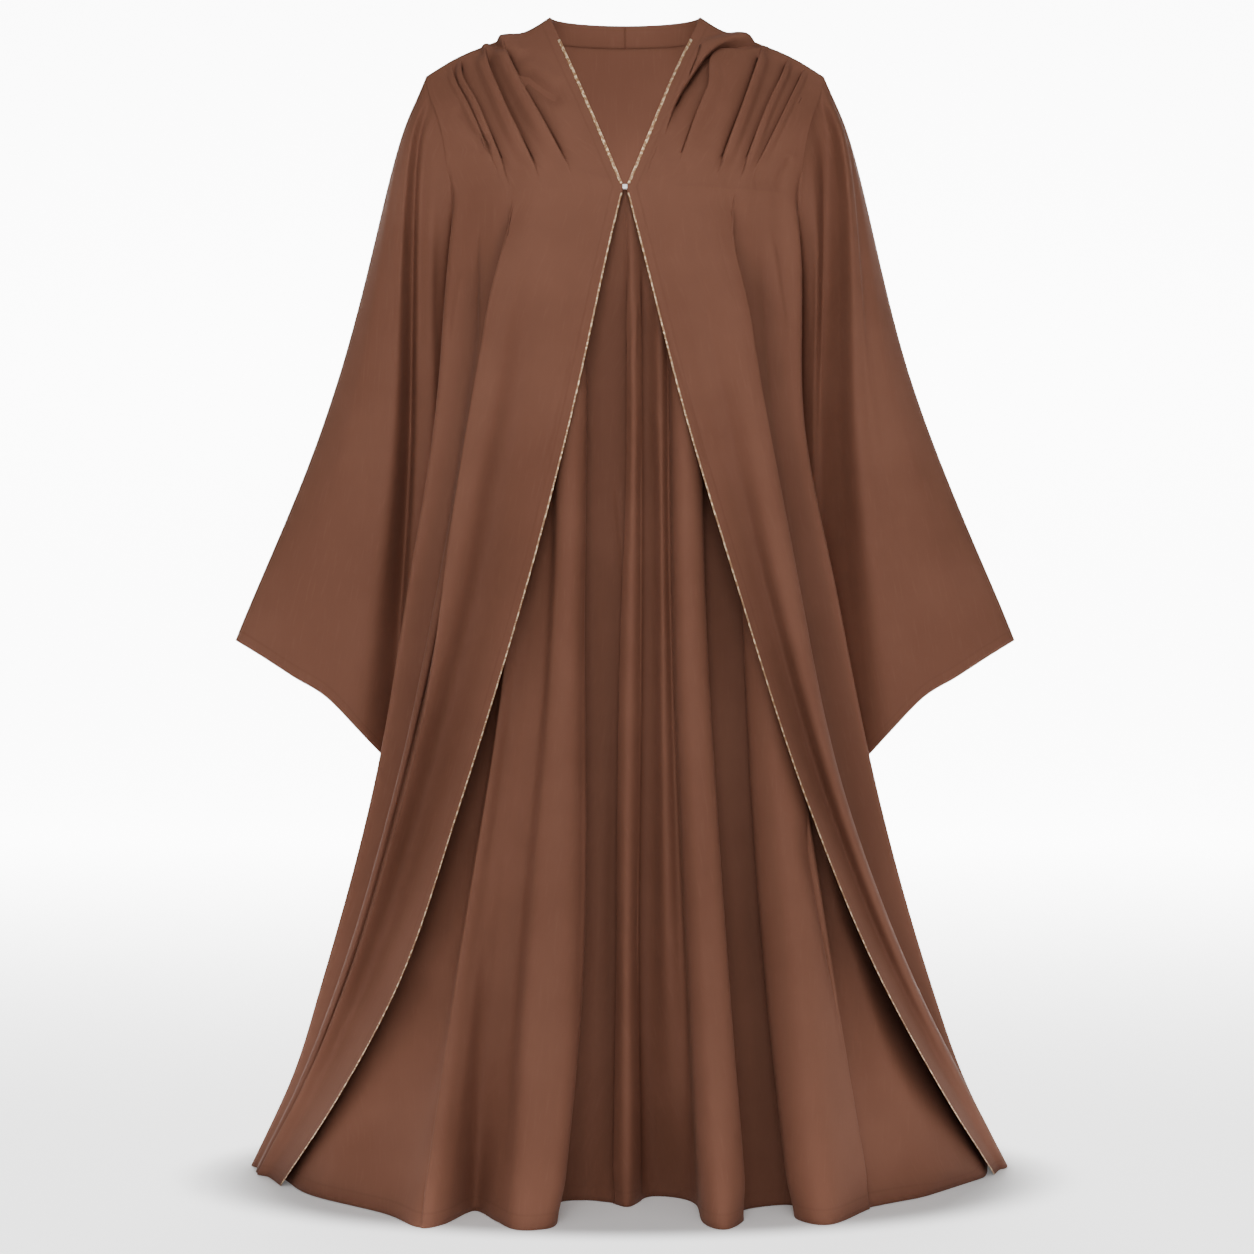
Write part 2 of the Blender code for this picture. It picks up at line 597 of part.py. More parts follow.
def back_point(share, level):
    """A point of the back's right half: share 0 at the centre back, 1 at the armhole and the side seam."""
    if level <= 1.0:
        if share < BACK_NECK_SHARE:
            angle = share / BACK_NECK_SHARE * math.pi / 2
            x = NECK_HALF_WIDTH * math.sin(angle)
            top = np.array([x, NECK_BACK_DEPTH * max(math.cos(angle), 0.0) ** NECK_ROUND, 0.0])
            top[2] = NECK_BACK_RISE * math.cos(angle) ** 2
        else:
            top = shoulder_point((share - BACK_NECK_SHARE) / (1 - BACK_NECK_SHARE))
            top[1] = SEAM_GAP
        half, depth = seam_at(CLASP_Z, back=True)
        centre = from_table(BODY_DEPTH, CLASP_Z)[1]
        angle = share * math.pi / 2
        foot = np.array([half * math.sin(angle), depth + (centre - depth) * math.cos(angle), CLASP_Z])
        backward = 1 - (1 - level) ** BLADES_BACKWARD
        point = top + (foot - top) * np.array([level, backward, level])
        edge_z = -SHOULDER_DROP + (CLASP_Z + SHOULDER_DROP) * level
        edge_half, edge_depth = seam_at(edge_z, back=True)
        straight = np.array([SHOULDER_HALF_WIDTH + (half - SHOULDER_HALF_WIDTH) * level, depth * backward])
        pull = soft_step((share - BACK_ARMHOLE_START) / (1 - BACK_ARMHOLE_START))
        point[:2] += (np.array([edge_half, edge_depth]) - straight) * pull
        return point
    z = CLASP_Z - (level - 1.0)
    half, depth = seam_at(z, back=True)
    centre = from_table(BODY_DEPTH, z)[1]
    angle = share * math.pi / 2
    point = np.array([half * math.sin(angle), depth + (centre - depth) * math.cos(angle), z])
    return point


def back_relief(share, level, side):
    """The back's flutes open towards the hem. They differ a little from side to side."""
    z = CLASP_Z - max(level - 1.0, 0.0)
    growth = ((CLASP_Z - z) / (CLASP_Z - HEM_Z)) ** FLUTE_GROWTH
    angles, reliefs = zip(*BACK_FLUTES)
    shift = BACK_LEAN * side * math.sin(share * math.pi)
    return growth * float(run_through(share * 90 + shift, angles, reliefs))


def back_surface(across, level):
    """Across runs from the right side seam (-1) to the left one (1)."""
    side = -1.0 if across < 0 else 1.0
    share = abs(across)
    point = back_point(share, level)
    centre = np.array([0.0, TORSO_CENTRE_Y, point[2]])
    out = point - centre
    out[2] = 0.0
    out /= max(np.linalg.norm(out), 1e-9)
    point = point + out * back_relief(share, level, side)
    if share >= 1.0:
        point[1] += SEAM_GAP
    point[0] *= side
    return point


def back_levels():
    return list(BACK_YOKE_ROWS) + [1.0 + CLASP_Z - z for z in SKIRT_ROWS]


def back_grid():
    half = FACING_SHARES + (BACK_NECK_SHARE, 0.42, 0.50, 0.58, 0.66, 0.74, 0.82, 0.91, 1.0)
    places = [-s for s in half[:0:-1]] + list(half)
    return np.array([[back_surface(a, level) for a in places] for level in back_levels()])


def facing_grid(side):
    """A strip on the inside of the back, along the neck: made from the back's points, moved in."""
    rows = []
    for level in (0.006, FACING_LEVEL):
        row = []
        for share in FACING_SHARES:
            here = back_surface(share, level)
            nearer, above = max(share - READ_STEP, 0), max(level - READ_STEP, 0)
            along = back_surface(share + READ_STEP, level) - back_surface(nearer, level)
            down = back_surface(share, level + READ_STEP) - back_surface(share, above)
            out = np.cross(along, down)
            out /= np.linalg.norm(out)
            point = here - out * (WALL + 2 * SEAM_GAP)
            point[0] = max(point[0], SEAM_GAP / 2) * side
            row.append(point)
        rows.append(row)
    return np.array(rows)


def sleeve_lines(valley):
    """The sleeve's lines in order round it, each as its armhole height and its three lower points."""
    front = SLEEVE_OUTER + valley + SLEEVE_INNER
    heights = [row[0] for row in front + SLEEVE_BACK]
    points = [row[1:] for row in front + SLEEVE_BACK]
    return np.array(heights), np.array(points), len(front) - 1


def sleeve_places(heights):
    """Places round the sleeve: each line, and more between those that leave the armhole far apart."""
    places = []
    last = len(heights) - 1
    for i, (here, after) in enumerate(zip(heights, np.roll(heights, -1))):
        between = i % 2 == 0 or i == last or abs(after - here) > 0.03
        more = 2 if abs(after - here) > 0.1 else 1 if between else 0
        places.extend(i + k / (more + 1) for k in range(more + 1))
    return np.array(places)


def sleeve_grids(sign, valley):
    """The front and the back of a sleeve, from the armhole to the sleeve hem. Their upper seam lies just
    behind the sleeve's fold, their lower one just behind the underarm."""
    heights, lower, underarm = sleeve_lines(valley)
    places = sleeve_places(heights)
    wrap = 2
    knots = np.arange(-wrap, len(heights) + wrap, dtype=float)
    ring_heights = np.interp(places, np.arange(len(heights) + 1), np.append(heights, heights[0]))
    around = np.concatenate([lower[-wrap:], lower, lower[:wrap]]).reshape(len(knots), -1)
    ring_lower = run_through(places, knots, around).reshape(len(places), -1, 3)
    starts = []
    for place, z in zip(places, ring_heights):
        half, depth = seam_at(z, back=place > underarm)
        drop = SLEEVE_CLEARANCE * soft_step(1 - (z - UNDERARM_Z) / UNDERARM_EASE)
        starts.append((half + SLEEVE_CLEARANCE, depth, z - drop))
    lines = np.concatenate([np.array(starts)[:, None], ring_lower], axis=1)
    grid = np.array([run_through(t, SLEEVE_STATIONS, lines.swapaxes(0, 1)) for t in SLEEVE_ROWS])
    grid[..., 0] *= sign
    top_seam, low_seam = len(places) - 1, int(np.searchsorted(places, underarm + 0.1))
    top_gap, low_gap = half_gap(grid, top_seam), half_gap(grid, low_seam)
    low_gap += UNDERARM_SEAM_EASE * (1 - np.array(SLEEVE_ROWS)) ** 2
    front = np.concatenate([grid[:, top_seam:], grid[:, : low_seam + 1]], axis=1)
    back = grid[:, low_seam : top_seam + 1].copy()
    return [with_seam_gaps(front, top_gap, low_gap), with_seam_gaps(back, low_gap, top_gap)]


def half_gap(ring, column):
    """How far each side stands back from a seam along this column: further where the cloth turns, so that
    the walls don't meet behind it."""
    before = ring[:, column] - ring[:, column - 1]
    after = ring[:, (column + 1) % ring.shape[1]] - ring[:, column]
    lengths = np.linalg.norm(before, axis=1) * np.linalg.norm(after, axis=1)
    turn = np.arccos(np.clip((before * after).sum(axis=1) / lengths, -1.0, 1.0))
    return SEAM_GAP / 2 + WALL * np.tan(turn / 2)


def with_seam_gaps(grid, first_gap, last_gap):
    """The grid with its first and last columns moved in by these distances, one for each row."""
    for edge, beside, gap in ((0, 1, first_gap), (-1, -2, last_gap)):
        along = grid[:, beside] - grid[:, edge]
        grid[:, edge] += along * (gap / np.linalg.norm(along, axis=1))[:, None]
    return grid


def parted(grid, yoke_rows):
    """The grid as a yoke and the piece below it, a seam gap apart."""
    yoke, skirt = grid[:yoke_rows].copy(), grid[yoke_rows - 1 :]
    up = yoke[-2] - yoke[-1]
    yoke[-1] += up * (YOKE_SEAM_GAP / np.linalg.norm(up, axis=1))[:, None]
    return yoke, skirt


def material(name, finish):
    """A piece's own material, from a finish of colour, roughness and metallic value."""
    made = bpy.data.materials.new(name)
    made.use_nodes = True
    shader = made.node_tree.nodes["Principled BSDF"]
    shader.inputs["Base Color"].default_value = (*finish["colour"], 1.0)
    shader.inputs["Roughness"].default_value = finish["roughness"]
    shader.inputs["Metallic"].default_value = finish["metallic"]
    return made


def sheet_object(name, grid, finish, thickness, flip=False):
    """A wall over a grid of outer points: the thickness goes inwards."""
    rows, columns = grid.shape[:2]
    bm = bmesh.new()
    made = bmesh.ops.create_grid(bm, x_segments=columns - 1, y_segments=rows - 1, size=0.5)
    order = sorted(made["verts"], key=lambda v: (round(-v.co.y, 5), round(v.co.x, 5)))
    for vert, point in zip(order, grid.reshape(-1, 3)):
        vert.co = point
    bmesh.ops.remove_doubles(bm, verts=bm.verts, dist=1e-6)
    bmesh.ops.triangulate(bm, faces=bm.faces, quad_method="SHORT_EDGE")
    if flip:
        bmesh.ops.reverse_faces(bm, faces=bm.faces)
    mesh = bpy.data.meshes.new(name)
    bm.to_mesh(mesh)
    bm.free()
    mesh.shade_smooth()
    mesh.materials.append(material(name, finish))
    obj = bpy.data.objects.new(name, mesh)
    bpy.context.collection.objects.link(obj)
    wall = obj.modifiers.new("wall", "SOLIDIFY")
    wall.thickness = thickness
    wall.offset = -1.0
    wall.use_even_offset = False
    return obj


def mirrored(grid):
    """The grid on the wearer's right, at -X."""
    grid = grid.copy()
    grid[..., 0] *= -1
    return grid


def clasp_object(finish):
    """A small square stone with bevelled edges, where the two front edges meet."""
    bm = bmesh.new()
    bmesh.ops.create_cube(bm, size=1.0)
    middle = CLASP_Y - CLASP_STANDOFF - CLASP_THICKNESS / 2
    for vert in bm.verts:
        vert.co.x *= CLASP_SIDE
        vert.co.y = middle + vert.co.y * CLASP_THICKNESS
        vert.co.z = CLASP_Z + vert.co.z * CLASP_SIDE
    bmesh.ops.bevel(
        bm, geom=bm.edges[:], affect="EDGES", offset=CLASP_BEVEL, segments=2, profile=0.5, material=-1
    )
    mesh = bpy.data.meshes.new("clasp")
    bm.to_mesh(mesh)
    bm.free()
    mesh.materials.append(material("clasp", finish))
    obj = bpy.data.objects.new("clasp", mesh)
    bpy.context.collection.objects.link(obj)
    return obj


def build():
    for obj in list(bpy.data.objects):
        bpy.data.objects.remove(obj)
    trim_start = TRIM_TOP_Z / CLASP_Z
    inside = [h for h in YOKE_ROWS if trim_start + TRIM_ROW_STEP < h < NECK_TRIM_END - TRIM_ROW_STEP]
    neck_levels = [trim_start] + inside + [NECK_TRIM_END]
    edge_levels = [EDGE_TRIM_START] + [h for h in front_levels() if h > EDGE_TRIM_START + TRIM_ROW_STEP]
    for side, sign, table, pleats, folds, valley in (
        ("right", -1, CAPE_RIGHT, PLEATS_RIGHT, INNER_RIGHT, SLEEVE_VALLEY_RIGHT),
        ("left", 1, CAPE_LEFT, PLEATS_LEFT, INNER_LEFT, SLEEVE_VALLEY_LEFT),
    ):
        cape = cape_grid(table, pleats)
        neck_trim = trim_grid(table, pleats, neck_levels, NECK_TRIM_WIDTH)
        edge_trim = trim_grid(table, pleats, edge_levels, EDGE_TRIM_WIDTH)
        if sign < 0:
            cape, neck_trim, edge_trim = mirrored(cape), mirrored(neck_trim), mirrored(edge_trim)
        sheet_object(f"cape_front_{side}", cape, CLOTH, WALL, flip=sign > 0)
        sheet_object(f"neck_trim_{side}", neck_trim, BRAID, TRIM_THICKNESS, flip=sign > 0)
        sheet_object(f"edge_trim_{side}", edge_trim, BRAID, TRIM_THICKNESS, flip=sign > 0)
        inner_yoke, inner_front = parted(inner_grid(folds, table, sign), len(YOKE_ROWS))
        sheet_object(f"inner_yoke_{side}", inner_yoke, CLOTH, WALL, flip=sign > 0)
        sheet_object(f"inner_front_{side}", inner_front, CLOTH, WALL, flip=sign > 0)
        sleeve_front, sleeve_back = sleeve_grids(sign, valley)
        sheet_object(f"sleeve_front_{side}", sleeve_front, CLOTH, WALL, flip=sign > 0)
        sheet_object(f"sleeve_back_{side}", sleeve_back, CLOTH, WALL, flip=sign > 0)
        sheet_object(f"neck_facing_{side}", facing_grid(sign), CLOTH, WALL, flip=sign < 0)
    back_yoke, back = parted(back_grid(), len(BACK_YOKE_ROWS))
    sheet_object("back_yoke", back_yoke, CLOTH, WALL)
    sheet_object("back", back, CLOTH, WALL)
    clasp_object(STONE)


build()
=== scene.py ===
import math

import bmesh
import bpy
import numpy as np
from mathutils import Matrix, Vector, noise


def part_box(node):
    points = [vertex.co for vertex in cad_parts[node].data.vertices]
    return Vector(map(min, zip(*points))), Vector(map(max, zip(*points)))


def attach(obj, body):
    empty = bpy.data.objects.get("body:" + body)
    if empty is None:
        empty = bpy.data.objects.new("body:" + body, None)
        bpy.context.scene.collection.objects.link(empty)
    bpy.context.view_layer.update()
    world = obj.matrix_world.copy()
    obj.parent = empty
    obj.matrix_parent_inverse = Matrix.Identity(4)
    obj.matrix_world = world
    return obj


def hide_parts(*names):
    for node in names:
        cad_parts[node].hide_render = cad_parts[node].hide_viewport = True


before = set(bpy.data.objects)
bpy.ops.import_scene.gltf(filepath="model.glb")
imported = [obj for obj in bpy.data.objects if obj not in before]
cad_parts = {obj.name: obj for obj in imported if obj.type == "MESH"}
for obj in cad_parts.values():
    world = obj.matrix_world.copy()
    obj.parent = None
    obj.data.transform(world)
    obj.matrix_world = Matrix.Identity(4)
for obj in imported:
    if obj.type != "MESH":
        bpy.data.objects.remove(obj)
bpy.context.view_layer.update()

# The garment stands with its shoulders at z = 0, its front faces -Y, its right side is at -X.
clothThickness = 0.0008
neckHalfWidth = 0.0905
neckBackDepth = 0.070
neckBackRise = 0.0068
shoulderHalfWidth = 0.240
shoulderDrop = 0.072
claspZ = -0.227
claspY = -0.125
underarmZ = -0.330
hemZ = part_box("back")[0][2]

# How the sections curve: forward over the chest, backward over the blades, round to the armhole and
# round the neck.
chestForward = 1.75
bladesBackward = 1.9
chestRound = 2.4
neckRound = 0.8
neckRiseRound = 0.4


def inMetres(rows):
    # the tables of lengths are written in millimetres
    return np.asarray(rows, float) / 1000


def named(columns, rows):
    return [dict(zip(columns, row)) for row in rows]


# Shoulder seam: half-width from the centre, height.
shoulderSeam = inMetres(((90.5, 0), (112, -13.5), (150, -27), (208, -52), (240, -72)))

# Armhole, front and back: height, half-width, depth.
armholeFront = inMetres((
    (-72, 240, 0),
    (-100, 233.5, -22),
    (-124, 224.5, -42),
    (-150, 216.5, -58),
    (-180, 211, -66),
    (-227, 206.5, -66),
    (-285, 205, -40),
    (-330, 205, 0),
))
armholeBack = inMetres((
    (-72, 240, 0),
    (-100, 234, 26),
    (-150, 220, 56),
    (-227, 209, 74),
    (-285, 206, 48),
    (-330, 205, 0),
))

# Side seam below the underarm: height, half-width, depth.
sideSeam = inMetres((
    (-330, 205, 0),
    (-474, 206, 6),
    (-704, 216, 18),
    (-886, 247, 32),
    (-1000, 274, 42),
    (-1164, 327, 60),
    (-1285, 382, 85),
    (-1400, 455, 128),
))

# Depth of the plain body behind the folds: height, inner front, back.
bodyDepth = inMetres((
    (-227, -119, 120),
    (-330, -124, 126),
    (-474, -122, 130),
    (-704, -128, 152),
    (-934, -138, 192),
    (-1164, -152, 244),
    (-1400, -172, 305),
))

# The photograph: its scale at the middle of the body, and where the camera's axis meets it.
photo = {
    "pixels": 1254,
    "pixelsPerMetre": 829,
    "centreColumn": 625,
    "eyeRow": 627,
    "eyeHeight": -0.735,
    "distance": 3.0,
}


def runThrough(at, knots, values):
    # a smooth curve through the values at the knots, read at one place or many
    at, knots, values = (np.asarray(a, float) for a in (at, knots, values))
    if knots[0] > knots[-1]:
        knots, values = knots[::-1], values[::-1]
    steps = np.diff(knots)
    shape = (-1,) + (1,) * (values.ndim - 1)
    slopes = np.diff(values, axis=0) / steps.reshape(shape)
    tangents = np.empty_like(values)
    tangents[0], tangents[-1] = slopes[0], slopes[-1]
    before, after = steps[:-1].reshape(shape), steps[1:].reshape(shape)
    tangents[1:-1] = (slopes[:-1] * after + slopes[1:] * before) / (before + after)
    i = np.clip(np.searchsorted(knots, at, side="right") - 1, 0, len(knots) - 2)
    step = steps[i]
    t = np.clip((at - knots[i]) / step, 0.0, 1.0)
    if values.ndim > 1:
        t, step = t[..., None], step[..., None]
    return (
        (2 * t**3 - 3 * t**2 + 1) * values[i]
        + (t**3 - 2 * t**2 + t) * step * tangents[i]
        + (3 * t**2 - 2 * t**3) * values[i + 1]
        + (t**3 - t**2) * step * tangents[i + 1]
    )


def softStep(t):
    t = np.clip(t, 0.0, 1.0)
    return t * t * (3 - 2 * t)


def unit(vectors):
    return vectors / np.maximum(np.linalg.norm(vectors, axis=-1, keepdims=True), 1e-12)


def soften(values, passes=1):
    # each value along the first axis drawn towards its two neighbours
    values = values.copy()
    for _ in range(passes):
        values[1:-1] = (values[:-2] + 2 * values[1:-1] + values[2:]) / 4
    return values


def fromTable(table, at):
    # the table's columns where its first one has this value
    return runThrough(at, table[:, 0], table[:, 1:])


def seamAt(z, back=False):
    if z >= underarmZ:
        return fromTable(armholeBack if back else armholeFront, z)
    return fromTable(sideSeam, z)


def zOf(level):
    # level 0 to 1 is the yoke, above that the skirt's way down from the clasp
    return claspZ - (level - 1.0)


def levelsOf(yokeRows, skirtRows):
    skirt = 1.0 + (claspZ - hemZ) * np.linspace(0, 1, skirtRows + 1)[1:]
    return np.concatenate([np.linspace(0, 1, yokeRows), skirt])


def shoulderPoints(share):
    x = neckHalfWidth + (shoulderHalfWidth - neckHalfWidth) * share
    return np.stack([x, np.zeros_like(x), fromTable(shoulderSeam, x)[:, 0]], -1)


def chestPoints(share):
    half, depth = seamAt(claspZ)
    y = claspY + (depth - claspY) * share**chestRound
    return np.stack([half * share, y, np.full_like(share, claspZ)], -1)


# Where a yoke's row begins to bend onto the armhole, and over how much of the row.
armholeBend = {"front": (0.55, 0.45), "back": (0.7, 0.3)}


def ontoArmhole(points, side, h, depthShare, share, back=False):
    # moves the outer points of a yoke's row onto the armhole
    start, run = armholeBend["back" if back else "front"]
    edge = np.array(seamAt(-shoulderDrop + (claspZ + shoulderDrop) * h, back))
    straight = np.array([shoulderHalfWidth + (side[0] - shoulderHalfWidth) * h, side[1] * depthShare])
    points[:, :2] += (edge - straight) * softStep((share - start) / run)[:, None]


def yokePoints(seamShare, chestShare, h):
    # between the shoulder seam (h = 0) and the height of the clasp (h = 1)
    top, foot = shoulderPoints(seamShare), chestPoints(chestShare)
    forward = 1 - (1 - h) ** chestForward
    points = top + (foot - top) * np.array([h, forward, h])
    side = chestPoints(np.array([1.0]))[0]
    ontoArmhole(points, side, h, forward, seamShare)
    return points


def wallFrames(grid):
    # the unit vectors out of a grid of points and along its rows
    along = np.gradient(grid, axis=1)
    down = np.gradient(grid, axis=0)
    return unit(np.cross(down, along)), unit(along)


def photoPlaces(grid):
    # each point's column and row in the photograph
    scale = photo["pixelsPerMetre"] * photo["distance"] / (photo["distance"] + grid[..., 1])
    columns = photo["centreColumn"] + grid[..., 0] * scale
    return columns, photo["eyeRow"] - (grid[..., 2] - photo["eyeHeight"]) * scale


crease = {"fadeIn": 0.18, "fadeOut": 0.22, "facingGain": 2.2}


def creaseRelief(grid, facing, creases):
    # Each crease is a path through the picture, its height in millimetres, and its reach in pixels on its
    # left and on its right. It fades towards both ends of the path, and where the cloth turns away.
    columns, rows = photoPlaces(grid)
    relief = np.zeros_like(columns)
    for path, height, left, right in creases:
        path = np.asarray(path, float)
        steps = np.linalg.norm(np.diff(path, axis=0), axis=1)
        ends = np.concatenate([[0], np.cumsum(steps)]) / steps.sum()
        reach = 3 * max(left, right)
        near = (columns > path[:, 0].min() - reach) & (columns < path[:, 0].max() + reach)
        near &= (rows > path[:, 1].min() - reach) & (rows < path[:, 1].max() + reach)
        if not near.any():
            continue
        c, r = columns[near], rows[near]
        best = np.full(len(c), 1e9)
        offset, along = np.zeros(len(c)), np.zeros(len(c))
        for a, b, s0, s1 in zip(path[:-1], path[1:], ends[:-1], ends[1:]):
            d = b - a
            t = np.clip(((c - a[0]) * d[0] + (r - a[1]) * d[1]) / (d @ d), 0, 1)
            dc, dr = c - a[0] - t * d[0], r - a[1] - t * d[1]
            distance = np.hypot(dc, dr)
            closer = distance < best
            best = np.where(closer, distance, best)
            side = np.sign(d[1] * dc - d[0] * dr)
            offset = np.where(closer, side * distance, offset)
            along = np.where(closer, s0 + (s1 - s0) * t, along)
        width = np.where(offset < 0, left, right)
        fade = softStep(along / crease["fadeIn"]) * softStep((1 - along) / crease["fadeOut"])
        relief[near] += height / 1000 * fade * np.exp(-((offset / width) ** 2))
    return relief * np.clip(facing * crease["facingGain"], 0, 1)


slack = {"size": 0.11, "downward": 0.45}


def unevenness(grid, height, size, seed):
    # slow dents and swells of slack cloth
    flat = grid.reshape(-1, 3) / size
    values = [noise.noise(Vector((p[0] + seed, p[1], p[2] * slack["downward"]))) for p in flat]
    return height * np.array(values).reshape(grid.shape[:2])


# Cape fronts. The edge hangs free, the crest is the long fold beside it, the side hides the side seam.
# Dip, hollow and tuck are the depths of the troughs between.
capeColumns = ("z", "edgeX", "edgeY", "dip", "crestX", "crestY", "hollow", "sideX", "sideY", "tuck")
capeRight = inMetres((
    (-330, 25, -150, 3, 150, -130, 5, 208.5, -82, 1),
    (-474, 56, -162, 8, 172, -142, 12, 219.5, -85, 4),
    (-704, 115.5, -172, 18, 216.5, -143, 24, 254.5, -80, 14),
    (-934, 186, -172, 26, 269, -126, 28, 298, -45, 20),
    (-1164, 268, -148, 24, 341, -76, 20, 363.5, -5, 10),
    (-1285, 334.5, -110, 16, 392, -28, 11, 404.5, 30, 5),
    (-1400, 409, -41, 8, 450, 35, 5, 461, 75, 3),
))
capeLeft = inMetres((
    (-330, 27, -150, 3, 136, -132, 5, 206, -82, 1),
    (-474, 63.3, -162, 6, 154.2, -144, 13, 206, -88, 3),
    (-704, 131.9, -172, 12, 193.4, -148, 25, 248.3, -82, 14),
    (-934, 208, -168, 15, 251.5, -130, 29, 299, -45, 20),
    (-1164, 306.5, -132, 12, 342.8, -72, 20, 366, 0, 10),
    (-1285, 374.5, -85, 8, 405.1, -18, 11, 411.1, 36, 5),
    (-1400, 448, 20, 4, 468, 65, 4, 472, 96, 2),
))
# Long folds of the hanging part: place across the sheet, level where they begin and where they are full,
# height of the edge, width of its soft side, width of its steep side, depth and width of the trough beyond,
# how far the edge leans over that trough, how far the fold drifts across the sheet on its way down, how
# deep in shade its trough lies and how wide that shade is.
foldColumns = (
    "place", "start", "full", "height", "width", "drop", "depth", "trough", "lean", "drift", "shade", "reach",
)
longFoldsRight = named(foldColumns, (
    (0.502, 1, 1.14, 0.0085, 0.17, 0.008, 0.012, 0.09, 0.0085, -0.062, 0.5, 0.3),
    (0.825, 1, 1.18, 0.0014, 0.06, 0.012, 0.003, 0.05, 0.0006, 0, 0.1, 0.08),
))
longFoldsLeft = named(foldColumns, (
    (0.502, 1, 1.16, 0.0085, 0.34, 0.008, 0.012, 0.15, 0.0085, 0.07, 0.5, 0.34),
    (0.825, 1, 1.2, 0.0014, 0.06, 0.012, 0.003, 0.05, 0.0006, 0, 0.1, 0.08),
))
# Where those lines lie across a cape front: place on the sheet, share of the shoulder seam, of the chest.
capeLinePlaces = np.array((
    (0, 0, 0.006),
    (0.28, 0.4, 0.375),
    (0.55, 0.715, 0.683),
    (0.68, 0.815, 0.83),
    (0.82, 0.92, 0.955),
    (0.91, 0.965, 0.982),
    (1, 1, 1),
))
# Pleats at the shoulder: place across the sheet at the seam, near it, on the chest and at the release,
# how far down it is released, height of the fold, width of its slope, lean of its edge, and at the seam
# the share of its height and the width of its steep side.
pleatColumns = ("seam", "near", "chest", "end", "release", "height", "width", "lean", "start", "seamDrop")
pleatsRight = named(pleatColumns, (
    (0.275, 0.285, 0.27, 0.205, 0.96, 0.0095, 0.085, -0.0032, 0, 0.02),
    (0.38, 0.4, 0.403, 0.357, 0.99, 0.0085, 0.08, -0.003, 0, 0.02),
    (0.552, 0.588, 0.565, 0.518, 1.03, 0.0052, 0.055, -0.0024, 0, 0.02),
    (0.67, 0.675, 0.63, 0.563, 0.97, 0.0026, 0.05, -0.0018, 0, 0.02),
))
pleatsLeft = named(pleatColumns, (
    (0.238, 0.16, 0.06, 0.085, 0.72, 0.0105, 0.1, 0.004, 0.76, 0.115),
    (0.305, 0.194, 0.184, 0.186, 0.92, 0.0036, 0.07, -0.0024, 0, 0.02),
    (0.372, 0.38, 0.39, 0.382, 0.99, 0.0078, 0.065, -0.003, 0, 0.02),
    (0.56, 0.562, 0.54, 0.507, 0.99, 0.0054, 0.05, -0.0026, 0, 0.02),
    (0.74, 0.72, 0.669, 0.57, 0.99, 0.003, 0.05, -0.0018, 0, 0.02),
))
# At the very top the cloth on the neck's side arches over the first pleats.
archesRight = named(pleatColumns, (
    (0.27, 0.268, 0.25, 0.25, 0.17, 0.0064, 0.13, 0, 1, 0.052),
    (0.376, 0.39, 0.4, 0.4, 0.12, 0.0028, 0.05, 0, 1, 0.04),
))
archesLeft = named(pleatColumns, ((0.372, 0.376, 0.38, 0.38, 0.12, 0.0016, 0.05, 0, 1, 0.04),))
pleat = {
    "stations": (0.0, 0.08, 0.40, 0.86), "drop": 0.010, "troughShare": 0.50, "troughWidth": 0.045,
    "topShare": 0.14, "fadeStart": 0.58, "fadeRun": 0.42,
}
capeFront = {
    "yokeRows": 62, "skirtRows": 160, "fineness": 7, "slack": 0.0010,
    "dipPlace": 0.52, "hollowPlace": 0.45, "hollowWay": (-0.5, 0.85),
    "sidePlaces": (0.75, 0.80, 0.84, 0.88, 0.92, 0.96, 1.0), "freeStart": 0.86, "freeRun": 0.35,
    "freePlaces": (
        0, 0.07, 0.14, 0.21, 0.28, 0.34, 0.40, 0.46, 0.465, 0.486, 0.497, 0.508, 0.522, 0.550, 0.61,
        0.68, 0.73, 0.78, 0.81, 0.828, 0.842, 0.86, 0.91, 0.955, 1.0,
    ),
    "driftStart": 1.22, "driftRun": 0.40, "flatStart": 1.40, "flatRun": 0.35, "flatShare": 0.60,
}
bust = {"passes": 160, "core": 0.06, "fade": 0.20}


def capeControls(table, z):
    row = dict(zip(capeColumns[1:], fromTable(table, z)))
    edge = np.array([row["edgeX"], row["edgeY"]])
    crest = np.array([row["crestX"], row["crestY"]])
    side = np.array([row["sideX"], row["sideY"]])
    seam = seamAt(z)
    dip = edge + (crest - edge) * capeFront["dipPlace"] + np.array([0.0, row["dip"]])
    hollow = crest + (side - crest) * capeFront["hollowPlace"]
    hollow = hollow + np.array(capeFront["hollowWay"]) * row["hollow"]
    tuck = (side + seam) / 2 + np.array([-1.0, 0.0]) * row["tuck"]
    return np.array([edge, dip, crest, hollow, side, tuck, seam])


def capeSection(table, u, z):
    # a row of a cape front below the clasp; near the clasp it runs into the chest's own section
    lines = capeLinePlaces
    first, second = table[0, 0], table[1, 0]
    if z > first:
        chest = chestPoints(lines[:, 2])[:, :2]
        low, lower = capeControls(table, first), capeControls(table, (first + second) / 2)
        t = (claspZ - z) / (claspZ - first)
        slopeOut = (lower - low) * (claspZ - first) / ((first - second) / 2)
        controls = chest + (low - chest) * (2 * t - t * t) + slopeOut * (t * t - t)
        controls[-1] = seamAt(z)
        controls[-2] = (controls[-3] + controls[-1]) / 2
    else:
        controls = capeControls(table, z)
    xy = runThrough(u, lines[:, 0], controls)
    return np.column_stack([xy, np.full(len(u), z)])


def capeRow(table, u, level):
    if level > 1.0:
        return capeSection(table, u, zOf(level))
    onSeam, onChest = fromTable(capeLinePlaces, u).T
    return yokePoints(onSeam, onChest, level)


